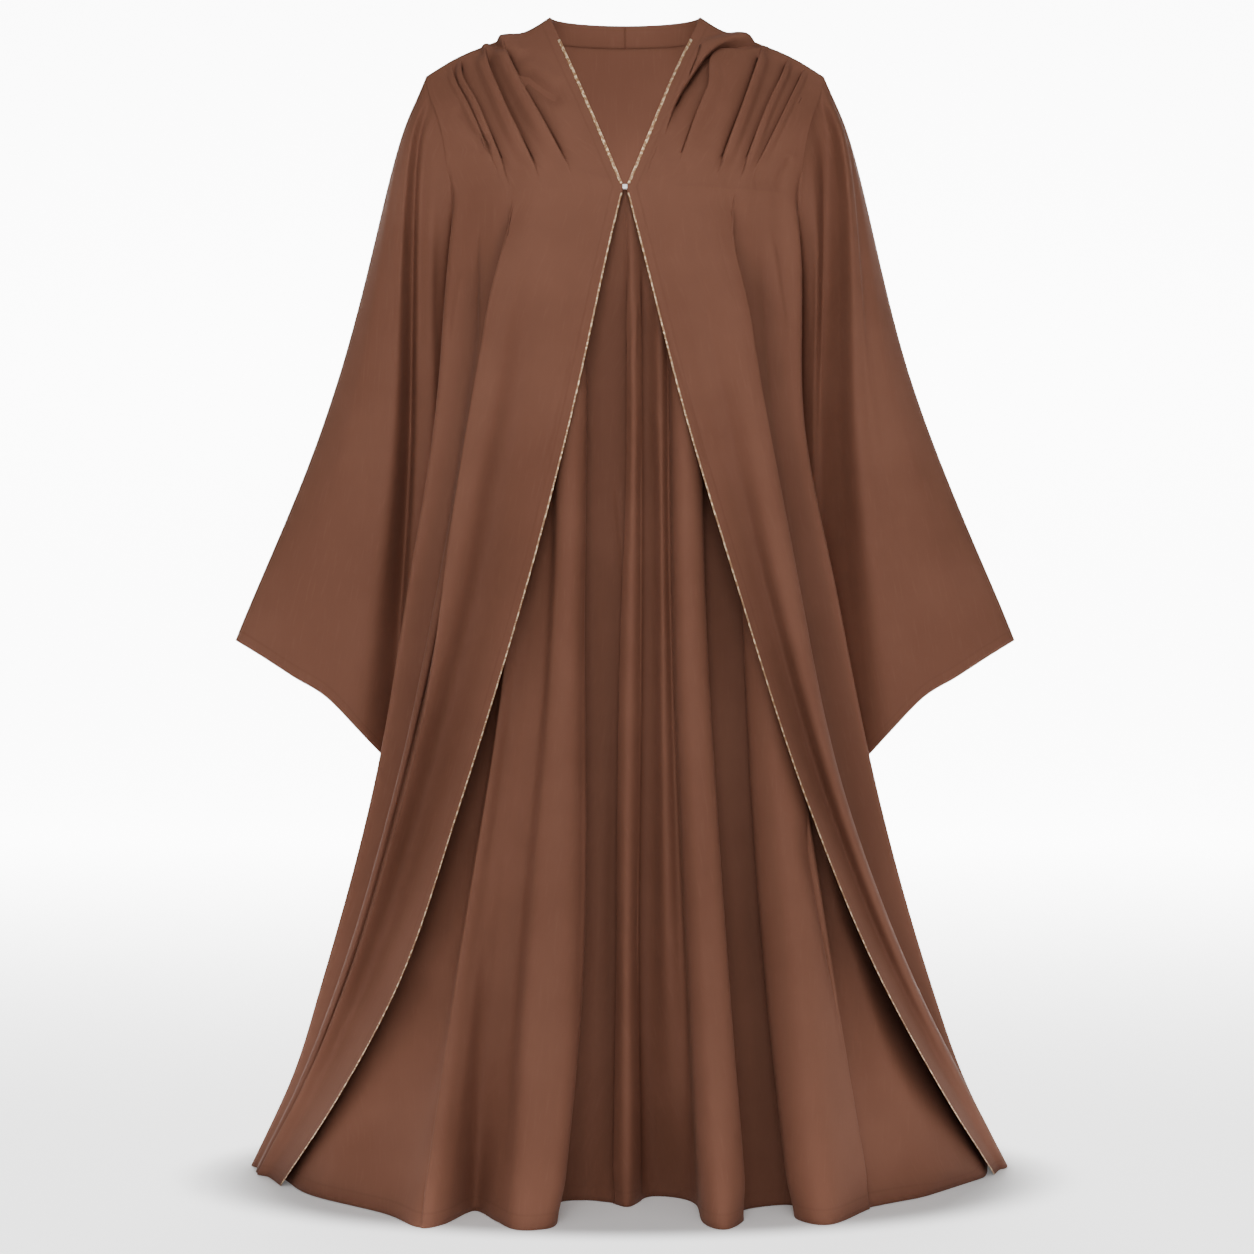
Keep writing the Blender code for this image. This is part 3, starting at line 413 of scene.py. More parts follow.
def pleatPlaces(pleats, level):
    at = min(level, pleat["stations"][-1])
    stations = [[row[station] for station in pleatColumns[:4]] for row in pleats]
    return [(float(runThrough(at, pleat["stations"], s)), row) for s, row in zip(stations, pleats)]


def pleatTop(row, level):
    # height share and width of the steep side: at the seam they start at the row's own values
    down = softStep(level / pleat["topShare"])
    share, drop = row["start"], row["seamDrop"]
    return share + (1 - share) * down, drop + (pleat["drop"] - drop) * down


def capePlaces(pleats, folds, level):
    # places across one row, closer together where a pleat turns
    free = np.array(capeFront["freePlaces"])
    moved = foldPlace(folds[0], level) - folds[0]["place"]
    free = free + moved * softStep(free / 0.30) * softStep((0.80 - free) / 0.20)
    bound = [0.0, 0.06]
    for place, row in pleatPlaces(pleats, level):
        sign = 1 if row["lean"] < 0 else -1
        drop = pleatTop(row, level)[1]
        bound.extend(sorted((place - sign * drop, place, place + sign * row["width"] * 0.5)))
    bound.extend((bound[-1] + pleat["troughWidth"], *capeFront["sidePlaces"]))
    bound = np.maximum.accumulate(np.asarray(bound) + np.arange(len(bound)) * 1e-4)
    spread = np.interp(np.linspace(0, 1, len(bound)), np.linspace(0, 1, len(free)), free)
    marks = bound + (spread - bound) * softStep((level - capeFront["freeStart"]) / capeFront["freeRun"])
    marks = np.maximum.accumulate(marks + np.arange(len(marks)) * 5e-4)
    marks = marks / marks[-1]
    fine = np.linspace(0, len(marks) - 1, (len(marks) - 1) * capeFront["fineness"] + 1)
    return np.interp(fine, np.arange(len(marks)), marks)


def pleatLift(pleats, u, level):
    lift, pull = np.zeros_like(u), np.zeros_like(u)
    for place, row in pleatPlaces(pleats, level):
        share, drop = pleatTop(row, level)
        fade = share * (1 - softStep((level / row["release"] - pleat["fadeStart"]) / pleat["fadeRun"]))
        edge = dict(row, drop=drop, depth=row["height"] * pleat["troughShare"], trough=pleat["troughWidth"])
        here, over = foldEdge((u - place) * (1 if row["lean"] < 0 else -1), edge)
        lift += here * fade
        pull += over * fade
    return lift, pull


def foldPlace(row, level):
    return row["place"] + row["drift"] * softStep((level - capeFront["driftStart"]) / capeFront["driftRun"])


def foldLift(folds, u, level):
    lift, pull, shade = np.zeros((3, len(u)))
    # they flatten where the sheet turns sideways
    flat = 1 - capeFront["flatShare"] * softStep((level - capeFront["flatStart"]) / capeFront["flatRun"])
    for row in folds:
        ramp = softStep((level - row["start"]) / (row["full"] - row["start"]))
        inside = foldPlace(row, level) - u
        here, over = foldEdge(inside, row)
        lift += here * ramp * flat
        pull += over * ramp * flat**3
        # painted shade: a band beside the fold's edge, on the trough's side, is darkened in the cloth's
        # colour
        shade += row["shade"] * ramp * softStep(-inside / row["drop"]) * softStep(1 + inside / row["reach"])
    return lift, pull, shade


def foldEdge(s, row):
    # The relief of a fold with one crisp edge, and how far it leans over. The distance s from the edge is
    # positive on the raised side.
    raised = row["height"] * softStep(1 - s / row["width"])
    sunk = -row["depth"] * softStep(1 + (s + row["drop"]) / row["trough"])
    turn = softStep(1 + s / row["drop"])
    return sunk + (raised - sunk) * turn, row["lean"] * turn * softStep(1 - s / (row["width"] * 0.5))


def softBust(depths, levels):
    # round off the bend where the yoke meets the hanging part
    near = 1 - softStep((np.abs(levels - 1) - bust["core"]) / bust["fade"])
    return depths + (soften(depths, bust["passes"]) - depths) * near[:, None]


def capeGrid(table, pleats, arches, folds):
    levels = levelsOf(capeFront["yokeRows"], capeFront["skirtRows"])
    places = [capePlaces(pleats, folds, level) for level in levels]
    grid = np.array([capeRow(table, u, level) for u, level in zip(places, levels)])
    grid[..., 1] = softBust(grid[..., 1], levels)
    out, along = wallFrames(grid)
    shade = np.zeros(grid.shape[:2])
    for i, (u, level) in enumerate(zip(places, levels)):
        lift, pull = pleatLift(pleats + arches, u, level)
        longLift, longPull, shade[i] = foldLift(folds, u, level)
        grid[i] += out[i] * (lift + longLift)[:, None] + along[i] * (pull + longPull)[:, None]
    return grid, shade


def withRelief(grid, creases, flip, slackHeight, seed):
    # the listed creases and a little unevenness, moved out of the front-facing wall
    out, _ = wallFrames(grid)
    if flip:
        out = -out
    relief = creaseRelief(grid, -out[..., 1], creases) + unevenness(grid, slackHeight, slack["size"], seed)
    return grid + out * relief[..., None]


troughs = {"nearest": 0.004, "fade": 1.3, "passes": 3}


def enclosure(grid, flip, reach=0.10):
    # how far the folds on both sides of a point rise above it, from 0 on a ridge to 1 in a narrow trough;
    # it sets how much shade is painted into the cloth's colour
    sign = -1 if flip else 1
    result = np.zeros(grid.shape[:2])
    for i, flat in enumerate(grid[..., :2]):
        way = unit(np.gradient(flat, axis=0))
        out = np.stack([way[:, 1], -way[:, 0]], -1) * sign
        across = flat[None] - flat[:, None]
        far = np.maximum(np.linalg.norm(across, axis=2), 1e-9)
        rise = (across * out[:, None]).sum(-1) / far
        rise = rise * np.clip(troughs["fade"] - far / reach, 0, 1) * (far > troughs["nearest"])
        order = np.arange(len(flat))
        before = np.where(order[None] < order[:, None], rise, 0).max(axis=1)
        after = np.where(order[None] > order[:, None], rise, 0).max(axis=1)
        result[i] = (before + after) / 2
    for _ in range(troughs["passes"]):
        result = soften(soften(result.T).T)
    return result


def linked(name, data):
    obj = bpy.data.objects.new(name, data)
    bpy.context.collection.objects.link(obj)
    return obj


def meshObject(name, bm, smooth=False):
    mesh = bpy.data.meshes.new(name)
    bm.to_mesh(mesh)
    bm.free()
    if smooth:
        mesh.shade_smooth()
    return linked(name, mesh)


def clothSheet(name, grid, flip, thickness=clothThickness, foldShade=None):
    # A wall over a grid of outer points: its thickness goes inwards. The UV map holds metres along the
    # cloth, the second one the way from its front edge and up from its hem, the third one how much shade is
    # painted into the colour in the folds.
    rows, columns = grid.shape[:2]
    bm = bmesh.new()
    made = bmesh.ops.create_grid(bm, x_segments=columns - 1, y_segments=rows - 1, size=0.5)
    order = sorted(made["verts"], key=lambda v: (round(-v.co.y, 6), round(v.co.x, 6)))
    for i, (vert, point) in enumerate(zip(order, grid.reshape(-1, 3))):
        vert.co = point
        vert.index = i
    across = np.linalg.norm(np.diff(grid, axis=1), axis=2)
    downward = np.linalg.norm(np.diff(grid, axis=0), axis=2)
    u = np.concatenate([np.zeros((rows, 1)), np.cumsum(across, axis=1)], axis=1)
    v = np.concatenate([np.zeros((1, columns)), np.cumsum(downward, axis=0)])
    fromMiddle = u - u[:, columns // 2][:, None]
    cloth, edges, folds = (bm.loops.layers.uv.new(kind) for kind in ("cloth", "edges", "folds"))
    shadeAtPoints = np.zeros(rows * columns) if foldShade is None else foldShade.reshape(-1)
    clothPlaces = np.stack([fromMiddle, -v], -1).reshape(-1, 2)
    edgePlaces = np.stack([u, v[-1][None] - v], -1).reshape(-1, 2)
    for face in bm.faces:
        for loop in face.loops:
            loop[cloth].uv = clothPlaces[loop.vert.index]
            loop[edges].uv = edgePlaces[loop.vert.index]
            loop[folds].uv = (shadeAtPoints[loop.vert.index], 0.0)
    bmesh.ops.remove_doubles(bm, verts=bm.verts, dist=1e-6)
    if flip:
        bmesh.ops.reverse_faces(bm, faces=bm.faces)
    obj = meshObject(name, bm, smooth=True)
    wall = obj.modifiers.new("wall", "SOLIDIFY")
    wall.thickness = thickness
    wall.offset = -1.0
    wall.use_even_offset = False
    return obj


# Creases of the cape fronts, by their place in the photograph.
capeCreasesRight = (
    # the soft trough between the long fold and the front edge
    (((556, 260), (528, 360), (500, 480), (482, 600), (456, 700), (428, 800), (396, 900), (358, 1000),
      (322, 1080)), -3.6, 17, 20),
    # small lines that run into the side fold
    (((483, 228), (482, 280), (481, 340)), 2.2, 2.5, 7),
    (((461, 270), (455, 312), (450, 350)), 2.2, 2.5, 8),
    (((474, 250), (472, 320), (464, 400)), -3, 7, 7),
    # the seam of the facing, a little way in from the edge
    (((606, 230), (590, 285), (572, 345), (560, 395), (548, 445), (533, 500)), -0.8, 2.5, 2.5),
    # drag from the chest and from the clasp
    (((560, 163), (590, 176), (618, 184)), 1.8, 6, 6),
    (((518, 70), (538, 86), (564, 104)), -5.8, 7, 7),
    (((520, 62), (540, 72), (562, 84)), 3, 6, 6),
    (((452, 107), (470, 130), (495, 155)), -2.6, 6, 6),
    (((515, 150), (512, 200), (505, 260)), -2.6, 14, 14),
    (((540, 200), (536, 300), (524, 420)), 2, 18, 18),
    (((470, 170), (462, 230), (455, 300), (448, 380)), -3, 10, 10),
)
capeCreasesLeft = (
    (((694, 260), (716, 360), (742, 480), (762, 600), (786, 700), (813, 800), (850, 900), (888, 1000),
      (920, 1080)), -1.2, 20, 17),
    (((771, 232), (779, 287), (786, 330)), 2.2, 7, 2.5),
    (((762, 250), (768, 320), (776, 400)), -3, 7, 7),
    (((643, 230), (655, 285), (672, 345), (690, 400), (704, 450), (720, 500)), -0.8, 2.5, 2.5),
    (((688, 165), (658, 176), (632, 184)), 1.8, 6, 6),
    (((735, 150), (730, 200), (738, 260)), -2.6, 14, 14),
    (((705, 200), (712, 300), (728, 420)), 2, 18, 18),
    (((780, 170), (782, 230), (788, 300), (794, 380)), -3, 10, 10),
    (((792, 155), (784, 172), (777, 192)), -1.8, 5, 5),
)

print("cape fronts")
capes = {}
for side, sign, table, pleats, arches, folds, creases in (
    ("right", -1, capeRight, pleatsRight, archesRight, longFoldsRight, capeCreasesRight),
    ("left", 1, capeLeft, pleatsLeft, archesLeft, longFoldsLeft, capeCreasesLeft),
):
    grid, shade = capeGrid(table, pleats, arches, folds)
    grid[..., 0] *= sign
    grid = withRelief(grid, creases, sign < 0, capeFront["slack"], 3.0 * sign)
    # painted shade: how far the folds close round each point, plus the band beside each long fold's edge,
    # darkens the cloth's colour
    foldShade = enclosure(grid, sign < 0) + shade
    obj = clothSheet(f"capeFront_{side}", grid, flip=sign > 0, foldShade=foldShade)
    capes[side] = {"grid": grid, "sign": sign, "obj": obj}


# Inner fronts, one row for each crest or hollow: hip x and y, knee x and y, hem x and y.
hipZ = -0.704
kneeZ = -1.164
innerRight = inMetres((
    (0, -121, -5, -130, -12, -131),
    (-8, -111, -14, -117, -22, -124),
    (-27, -107, -32, -118, -47, -114),
    (-51.5, -113, -55.5, -129, -77, -131),
    (-53.5, -139, -57, -187, -78.5, -231),
    (-64, -151, -78, -206, -98, -256),
    (-78, -150, -106, -202, -122, -254),
    (-88, -136, -127, -172, -144, -215),
    (-105, -130, -158, -170, -172, -166),
    (-120, -126, -177, -180, -204, -232),
    (-133, -128, -197, -184, -231, -246),
    (-143, -115, -212, -146, -272, -182),
    (-168, -106, -268, -100, -365, -92),
    (-188, -86, -300, -52, -404, -18),
))
innerLeft = inMetres((
    (0, -121, -5, -130, -12, -131),
    (8, -132, 4, -146, 5, -146),
    (26, -116, 24.5, -120, 28, -97),
    (42.5, -131, 50, -144, 62, -102),
    (53, -124, 69, -150, 83, -138),
    (59, -144, 76, -190, 88, -224),
    (71, -152, 94, -209, 110, -255),
    (85, -142, 113, -192, 130.5, -214),
    (92, -114, 118.5, -140, 137, -162),
    (139, -108, 168, -130, 191.5, -140),
    (143, -125, 170.5, -164, 195, -206),
    (158, -134, 203, -190, 228, -232),
    (178, -122, 237, -158, 276, -160),
    (187, -104, 243, -120, 297, -138),
    (202, -86, 284, -94, 385, -68),
    (208, -60, 310, -34, 430, -2),
))
innerFront = {
    "yokeRows": 14, "skirtRows": 180, "fineness": 11, "bustShare": 0.90, "topLevel": 0.007,
    "layerGap": 0.0036, "edgeGap": 0.0016, "centreGap": 0.0003, "waistZ": -0.44, "waistShare": 0.85,
    "leastGap": 0.0012, "hemFade": 0.05, "hemShare": 0.75, "paintedShadeShare": 0.62, "waistPlace": 0.45,
    "sideInset": 0.004, "coveredShare": 0.82, "hangGap": 0.004, "hangRun": 0.1, "openSlope": 1.2,
    "deepest": 0.08, "edgeDensity": 3.0, "edgeReach": 0.30, "swayLines": 2.0, "slack": 0.0008,
    "shadeReach": 0.22,
}
# The centre seam sways a little to the wearer's left on its way down: height, sway.
centreSway = inMetres(((-227, 0), (-330, 3), (-450, 6), (-570, 5), (-704, 0), (-1400, 0)))
# Crisp edges of the inner folds: place among the table's lines, the side that is raised (1 is the outer
# one), heights where the edge begins and is full, then as for the long folds.
innerFoldColumns = (
    "place", "raised", "start", "full", "height", "width", "drop", "depth", "trough", "lean",
)
innerFoldsRight = named(innerFoldColumns, (
    (0, -1, -0.3, -0.4, 0, 1, 0.16, 0.007, 2.4, 0),
    (3.85, 1, -0.36, -0.48, 0.006, 3, 0.22, 0.006, 2, 0.003),
    (9.7, -1, -0.64, -0.76, 0.005, 1.6, 0.22, 0.007, 2.2, 0.003),
))
innerFoldsLeft = named(innerFoldColumns, (
    (0, 1, -0.3, -0.4, 0.005, 1.3, 0.1, 0, 1, 0),
    (1.5, -1, -0.3, -0.4, 0.002, 1, 0.3, 0.004, 1.2, 0.001),
    (7, -1, -0.42, -0.56, 0.006, 2.4, 0.22, 0.007, 1.8, 0.003),
    (9.6, 1, -0.56, -0.68, 0.006, 2.2, 0.22, 0.005, 1.4, 0.003),
    (12, -1, -0.68, -0.8, 0.005, 1.6, 0.22, 0.006, 1.8, 0.003),
))


def innerSeam(table, z):
    # where an inner front ends: just inside the cape front's outer edge
    before, end = capeSection(table, np.array([0.985, 1.0]), z)[:, :2]
    along = (end - before) / np.linalg.norm(end - before)
    out = np.array([along[1], -along[0]])
    return end - out * (clothThickness + innerFront["edgeGap"]) - along * 0.001


def innerControls(folds, table, sign, z):
    hip, knee, hem = folds[:, 0:2], folds[:, 2:4], folds[:, 4:6]
    centre = float(fromTable(bodyDepth, z)[0])
    chestX = hip[:, 0] * innerFront["bustShare"]
    shares = np.minimum(np.abs(chestX) / seamAt(claspZ)[0], 1.0)
    chest = np.stack([chestX, chestPoints(shares)[:, 1] + clothThickness + innerFront["layerGap"]], axis=1)
    waist = chest + (hip - chest) * innerFront["waistPlace"]
    waist[:, 1] = chest[:, 1] + (hip[:, 1] - chest[:, 1]) * innerFront["waistShare"]
    stations = [claspZ, innerFront["waistZ"], hipZ, kneeZ, hemZ]
    points = runThrough(z, stations, np.array([chest, waist, hip, knee, hem]))
    seam = innerSeam(table, z) * np.array([sign, 1.0])
    inside = points[-1] + (seam - points[-1]) * 0.5
    inset = innerFront["sideInset"]
    inside[0] = sign * min(abs(inside[0]) + inset, abs(seam[0]) - inset)
    points = np.vstack([points, inside, seam])
    # the panel stays behind the cape front that covers it
    cape = capeSection(table, np.linspace(0, innerFront["coveredShare"], 28), z)
    cover = np.interp(np.abs(points[:, 0]), cape[:, 0], cape[:, 1])
    beside = np.clip(cape[0, 0] - np.abs(points[:, 0]), 0, None)
    hang = innerFront["hangGap"] * softStep((claspZ - z) / innerFront["hangRun"])
    gap = clothThickness + innerFront["layerGap"] + hang
    least = np.minimum(cover + gap - beside * innerFront["openSlope"], centre + innerFront["deepest"])
    points[:-1, 1] = np.maximum(points[:-1, 1], least[:-1])
    return points


def innerPlaces(count, edges):
    # places among the table's lines, closer together at the crisp edges
    even = np.linspace(0, count - 1, 4000)
    near = [np.exp(-(((even - row["place"]) / innerFront["edgeReach"]) ** 2)) for row in edges]
    density = 1 + sum(innerFront["edgeDensity"] * share for share in near)
    reach = np.cumsum(density)
    total = (count - 1) * innerFront["fineness"] + 1
    places = np.interp(np.linspace(reach[0], reach[-1], total), reach, even)
    places[0], places[-1] = 0, count - 1
    return places


def innerRelief(edges, fine, z):
    lift, pull = np.zeros((2, len(fine)))
    atHem = 1 - innerFront["hemShare"] * softStep(1 - (z - hemZ) / innerFront["hemFade"])
    for row in edges:
        ramp = softStep((row["start"] - z) / (row["start"] - row["full"])) * atHem
        side = row["raised"]
        shift = row["drop"] if row["place"] == 0 and side > 0 else 0
        here, over = foldEdge((fine - row["place"]) * side + shift, row)
        if row["place"] == 0:
            # the two halves meet on the seam itself
            here = here * softStep(fine / row["drop"])
        lift += here * ramp
        pull -= over * ramp * side
    return lift, pull


def innerGrid(folds, table, sign, edges):
    half = seamAt(claspZ)[0]
    foot = innerControls(folds, table, sign, claspZ)
    shares = np.clip(np.abs(foot[:, 0]) / (half - clothThickness - innerFront["edgeGap"]), 0, 1)
    shares[0], shares[-1] = 0.0, 1.0
    knots = np.arange(len(shares), dtype=float)
    fine = innerPlaces(len(shares), edges)
    across = np.interp(fine, knots, shares)
    grid = []
    for level in np.linspace(0, 1, innerFront["yokeRows"] + 1)[:-1]:
        h = max(level, innerFront["topLevel"])
        here = yokePoints(across, across, h)
        more = yokePoints(across, across, h + 0.01)
        out = unit(np.cross(more - here, np.gradient(here, axis=0)))
        rim = np.minimum(np.minimum(across, 1 - across), h * 0.8) / 0.12
        depth = innerFront["edgeGap"] + (innerFront["layerGap"] - innerFront["edgeGap"]) * softStep(rim)
        points = here - out * (clothThickness + depth)[:, None]
        points[:, 0] *= sign
        grid.append(points)
    for level in levelsOf(2, innerFront["skirtRows"])[1:]:
        z = zOf(level)
        controls = innerControls(folds, table, sign, z)
        controls[0, 0] += sign * innerFront["centreGap"] / 2
        xy = runThrough(fine, knots, controls)
        xy[:, 0] += fromTable(centreSway, z)[0] * (1 - softStep(fine / innerFront["swayLines"]))
        way = unit(np.gradient(xy, axis=0) * sign)
        lift, pull = innerRelief(edges, fine, z)
        xy += np.stack([way[:, 1], -way[:, 0]], -1) * lift[:, None] + way * (pull * sign)[:, None]
        grid.append(np.column_stack([xy, np.full(len(xy), z)]))
    return np.array(grid)


def keptBehind(grid, cape):
    # the inner front's points, moved back where its folds would come through the cape front
    grid = grid.copy()
    capeHeights = cape[..., 2].mean(axis=1)
    for row in grid:
        z = row[:, 2].mean()
        if z > claspZ:
            continue
        over = cape[np.argmin(np.abs(capeHeights - z))]
        capeX = np.maximum.accumulate(np.abs(over[:, 0]))
        x = np.abs(row[:, 0])
        least = np.interp(x, capeX, over[:, 1]) + clothThickness + innerFront["leastGap"]
        least -= np.clip(capeX[0] - x, 0, None) * innerFront["openSlope"]
        inside = softStep((capeX[-1] - 0.004 - x) / 0.008)
        row[:, 1] += np.clip(least - row[:, 1], 0, None) * inside
    return grid


# Creases of the inner fronts, by their place in the photograph.
innerCreasesRight = (
    (((617, 480), (622, 545), (625, 590)), 2.5, 3, 3),
    (((551, 560), (540, 700), (533, 850), (526, 1000), (514, 1150)), 2, 8, 14),
    (((596, 420), (598, 520), (592, 650), (588, 800), (584, 950), (584, 1080)), -3.5, 14, 16),
    (((526, 680), (509, 800), (497, 950), (485, 1080)), -5.5, 12, 12),
    (((420, 950), (398, 1040), (372, 1110), (336, 1170)), -9, 20, 30),
)
innerCreasesLeft = (
    (((636, 300), (634, 345), (632, 380)), 1.4, 2.5, 2.5),
    (((662, 340), (666, 400), (670, 525), (674, 650), (679, 800), (682, 900), (687, 1000), (692, 1100),
      (697, 1175)), -0.6, 6, 4),
    (((648, 380), (650, 520), (650, 650), (650, 800), (647, 950), (647, 1080)), -3.5, 11, 13),
    (((800, 800), (836, 950), (868, 1070), (882, 1110)), -8, 12, 22),
    (((845, 915), (857, 962), (870, 1012), (885, 1062), (907, 1100), (927, 1137)), 3, 4, 12),
)

print("inner fronts")
inners = {}
for side, sign, table, folds, edges, creases in (
    ("right", -1, capeRight, innerRight, innerFoldsRight, innerCreasesRight),
    ("left", 1, capeLeft, innerLeft, innerFoldsLeft, innerCreasesLeft),
):
    grid = innerGrid(folds, table, sign, edges)
    grid = withRelief(grid, creases, sign < 0, innerFront["slack"], 7.0 * sign)
    grid = keptBehind(grid, capes[side]["grid"])
    # painted shade: how far the folds close round each point darkens the cloth's colour, at a share of full
    # strength
    foldShade = enclosure(grid, sign < 0, reach=innerFront["shadeReach"]) * innerFront["paintedShadeShare"]
    inners[side] = clothSheet(f"innerFront_{side}", grid, flip=sign > 0, foldShade=foldShade)


# Back. Angle round the back from the centre back, and the relief of each flute at the hem.
backFlutes = ((0, 0.030), (17, -0.022), (33, 0.030), (48, -0.020), (62, 0.026), (75, -0.012), (90, 0.0))
backPanel = {
    "yokeRows": 46, "skirtRows": 150, "columnsPerSide": 84, "lean": 3.0, "growth": 1.1, "neckShare": 0.34,
    "seamGap": 0.0003, "centre": 0.03, "softPasses": 90, "softFrom": 0.10, "softTo": 0.95, "softRun": 0.30,
    "slack": 0.0012, "slackSize": 0.12, "smoothRows": 14, "shadeReach": 0.18,
}


def backSection(share, z):
    half, depth = seamAt(z, back=True)
    angle = share * math.pi / 2
    y = depth + (fromTable(bodyDepth, z)[1] - depth) * np.cos(angle)
    return np.stack([half * np.sin(angle), y, np.full_like(share, z)], -1)


def backHalf(share, level):
    # a row of one half of the back: share 0 at the centre back, 1 at the armhole and the side seam
    if level > 1.0:
        return backSection(share, zOf(level))
    neckShare = backPanel["neckShare"]
    angle = np.clip(share / neckShare, 0, 1) * math.pi / 2
    cosine = np.maximum(np.cos(angle), 0)
    rise = neckBackRise * cosine**neckRiseRound
    neck = np.stack([neckHalfWidth * np.sin(angle), neckBackDepth * cosine**neckRound, rise], -1)
    seam = shoulderPoints(np.clip((share - neckShare) / (1 - neckShare), 0, 1))
    seam[:, 1] = backPanel["seamGap"]
    top = np.where((share < neckShare)[:, None], neck, seam)
    foot = backSection(share, claspZ)
    backward = 1 - (1 - level) ** bladesBackward
    points = top + (foot - top) * np.array([level, backward, level])
    ontoArmhole(points, seamAt(claspZ, back=True), level, backward, share, back=True)
    return points


def backRow(across, level):
    # across runs from the right side seam (-1) to the left one (1)
    side, share = np.sign(across), np.abs(across)
    points = backHalf(share, level)
    out = points.copy()
    out[:, 1] -= backPanel["centre"]
    out[:, 2] = 0
    z = min(zOf(level), claspZ)
    growth = ((claspZ - z) / (claspZ - hemZ)) ** backPanel["growth"]
    angles, reliefs = zip(*backFlutes)
    shift = backPanel["lean"] * side * np.sin(share * math.pi)
    relief = growth * runThrough(share * 90 + shift, angles, reliefs)
    points = points + unit(out) * relief[:, None]
    points[share >= 1.0, 1] += backPanel["seamGap"]
    points[:, 0] *= np.where(side == 0, 1, side)
    return points


def softYoke(grid, levels):
    # round off the bends that run down from the neck's corners
    smooth = soften(grid.swapaxes(0, 1), backPanel["softPasses"]).swapaxes(0, 1)
    share = softStep((levels - backPanel["softFrom"]) / backPanel["softRun"])
    share = share * (1 - softStep((levels - backPanel["softTo"]) / backPanel["softRun"]))
    return grid + (smooth - grid) * share[:, None, None]


# Soft lines of the back, by their place in the same picture taken from behind.
backCreases = (
    (((470, 95), (500, 140), (520, 200)), -1.6, 12, 12),
    (((780, 95), (752, 140), (735, 200)), -1.6, 12, 12),
    (((455, 180), (462, 300), (470, 420), (462, 560)), -2.6, 12, 14),
    (((795, 180), (788, 300), (782, 420), (790, 560)), -2.6, 14, 12),
    (((540, 330), (530, 500), (512, 700), (492, 900), (470, 1150)), -3, 16, 10),
    (((572, 420), (566, 600), (556, 800), (546, 1000), (540, 1180)), 3, 10, 14),
    (((612, 300), (612, 500), (606, 750), (598, 1000), (592, 1190)), -2.6, 12, 16),
    (((650, 360), (655, 560), (662, 800), (668, 1000), (676, 1190)), 2.8, 14, 10),
    (((700, 320), (712, 520), (728, 720), (748, 920), (770, 1160)), -3.2, 10, 16),
    (((748, 450), (768, 640), (796, 840), (830, 1040), (858, 1170)), 2.6, 14, 9),
    (((500, 480), (478, 660), (446, 860), (410, 1060), (388, 1170)), 2.6, 9, 14),
    (((590, 60), (600, 110), (612, 170)), 1, 16, 16),
    (((660, 60), (650, 110), (640, 170)), 1, 16, 16),
)

print("back")
half = np.linspace(0, 1, backPanel["columnsPerSide"] + 1)
across = np.concatenate([-half[:0:-1], half])
backLevels = levelsOf(backPanel["yokeRows"], backPanel["skirtRows"])
grid = softYoke(np.array([backRow(across, level) for level in backLevels]), backLevels)
out, _ = wallFrames(grid)
out = -out if out[60, len(across) // 2, 1] < 0 else out
turned = grid * np.array([-1, -1, 1])
relief = creaseRelief(turned, out[..., 1], backCreases)
relief += unevenness(grid, backPanel["slack"], backPanel["slackSize"], 11.0)
# the neck stays smooth where the facing lies inside it
relief *= softStep(np.arange(len(grid)) / backPanel["smoothRows"])[:, None]
backGrid = grid + out * relief[..., None]
# painted shade: how far the back's flutes close round each point darkens the cloth's colour
foldShade = enclosure(backGrid, True, reach=backPanel["shadeReach"])
back = clothSheet("backPanel", backGrid, flip=False, foldShade=foldShade)


# Neck facing: a band on the inside of the back along the neck, in two halves with a centre seam.
neckFacing = {
    "topLevel": 0.002, "footLevel": 0.109, "rows": 14, "columns": 44, "endShare": 0.325, "gap": 0.0005,
    "swell": 0.0008,
}


def facingGrid(side):
    shares = np.linspace(0.00002, neckFacing["endShare"], neckFacing["columns"])
    levels = np.linspace(neckFacing["topLevel"], neckFacing["footLevel"], neckFacing["rows"])
    grid = np.array([backRow(shares, level) for level in levels])
    out, _ = wallFrames(grid)
    out = -out if out[3, 3, 1] < 0 else out
    # the band is a little fuller than the cloth behind it, with rolled edges
    swell = np.sin(np.linspace(0, 1, len(levels)) * math.pi)[:, None, None] * neckFacing["swell"]
    grid = grid - out * (clothThickness + neckFacing["gap"] + swell)
    grid[..., 0] *= side
    return grid


print("neck facings")
facings = {
    "right": clothSheet("neckFacing_right", facingGrid(-1), flip=True),
    "left": clothSheet("neckFacing_left", facingGrid(1), flip=False),
}


# Sleeves, one row for each line from the armhole to the sleeve's hem: height where it leaves the armhole,
# then upper arm, elbow and hem (half-width, depth, height).
sleeveOuter = inMetres((
    (-72, 264, 0, -130, 345, 0, -435, 470, 0, -751),
    (-77, 262.5, -22, -134, 323, -46, -458, 432, -30, -771.5),
    (-83, 259, -35, -138, 300, -62, -484, 393, -48, -795),
))
sleeveValleyRight = inMetres((
    (-89, 255.5, -44, -143, 283.5, -66, -506, 354, -54, -818.5),
    (-96, 251, -50, -148, 270.5, -62, -524, 312, -50, -862),
    (-104, 244.5, -44, -155, 259, -26, -540, 285, -20, -894),
    (-128, 236.5, -55, -168, 248, -40, -556, 277.5, -26, -899),
))
sleeveValleyLeft = inMetres((
    (-89, 258, -50, -143, 290, -66, -500, 354, -53, -818.5),
    (-96, 253, -56, -148, 273, -70, -522, 312, -52, -862),
    (-104, 244, -44, -155, 256, -40, -540, 285, -30, -894),
    (-128, 234, -46, -168, 238, -18, -556, 274, -20, -901),
))
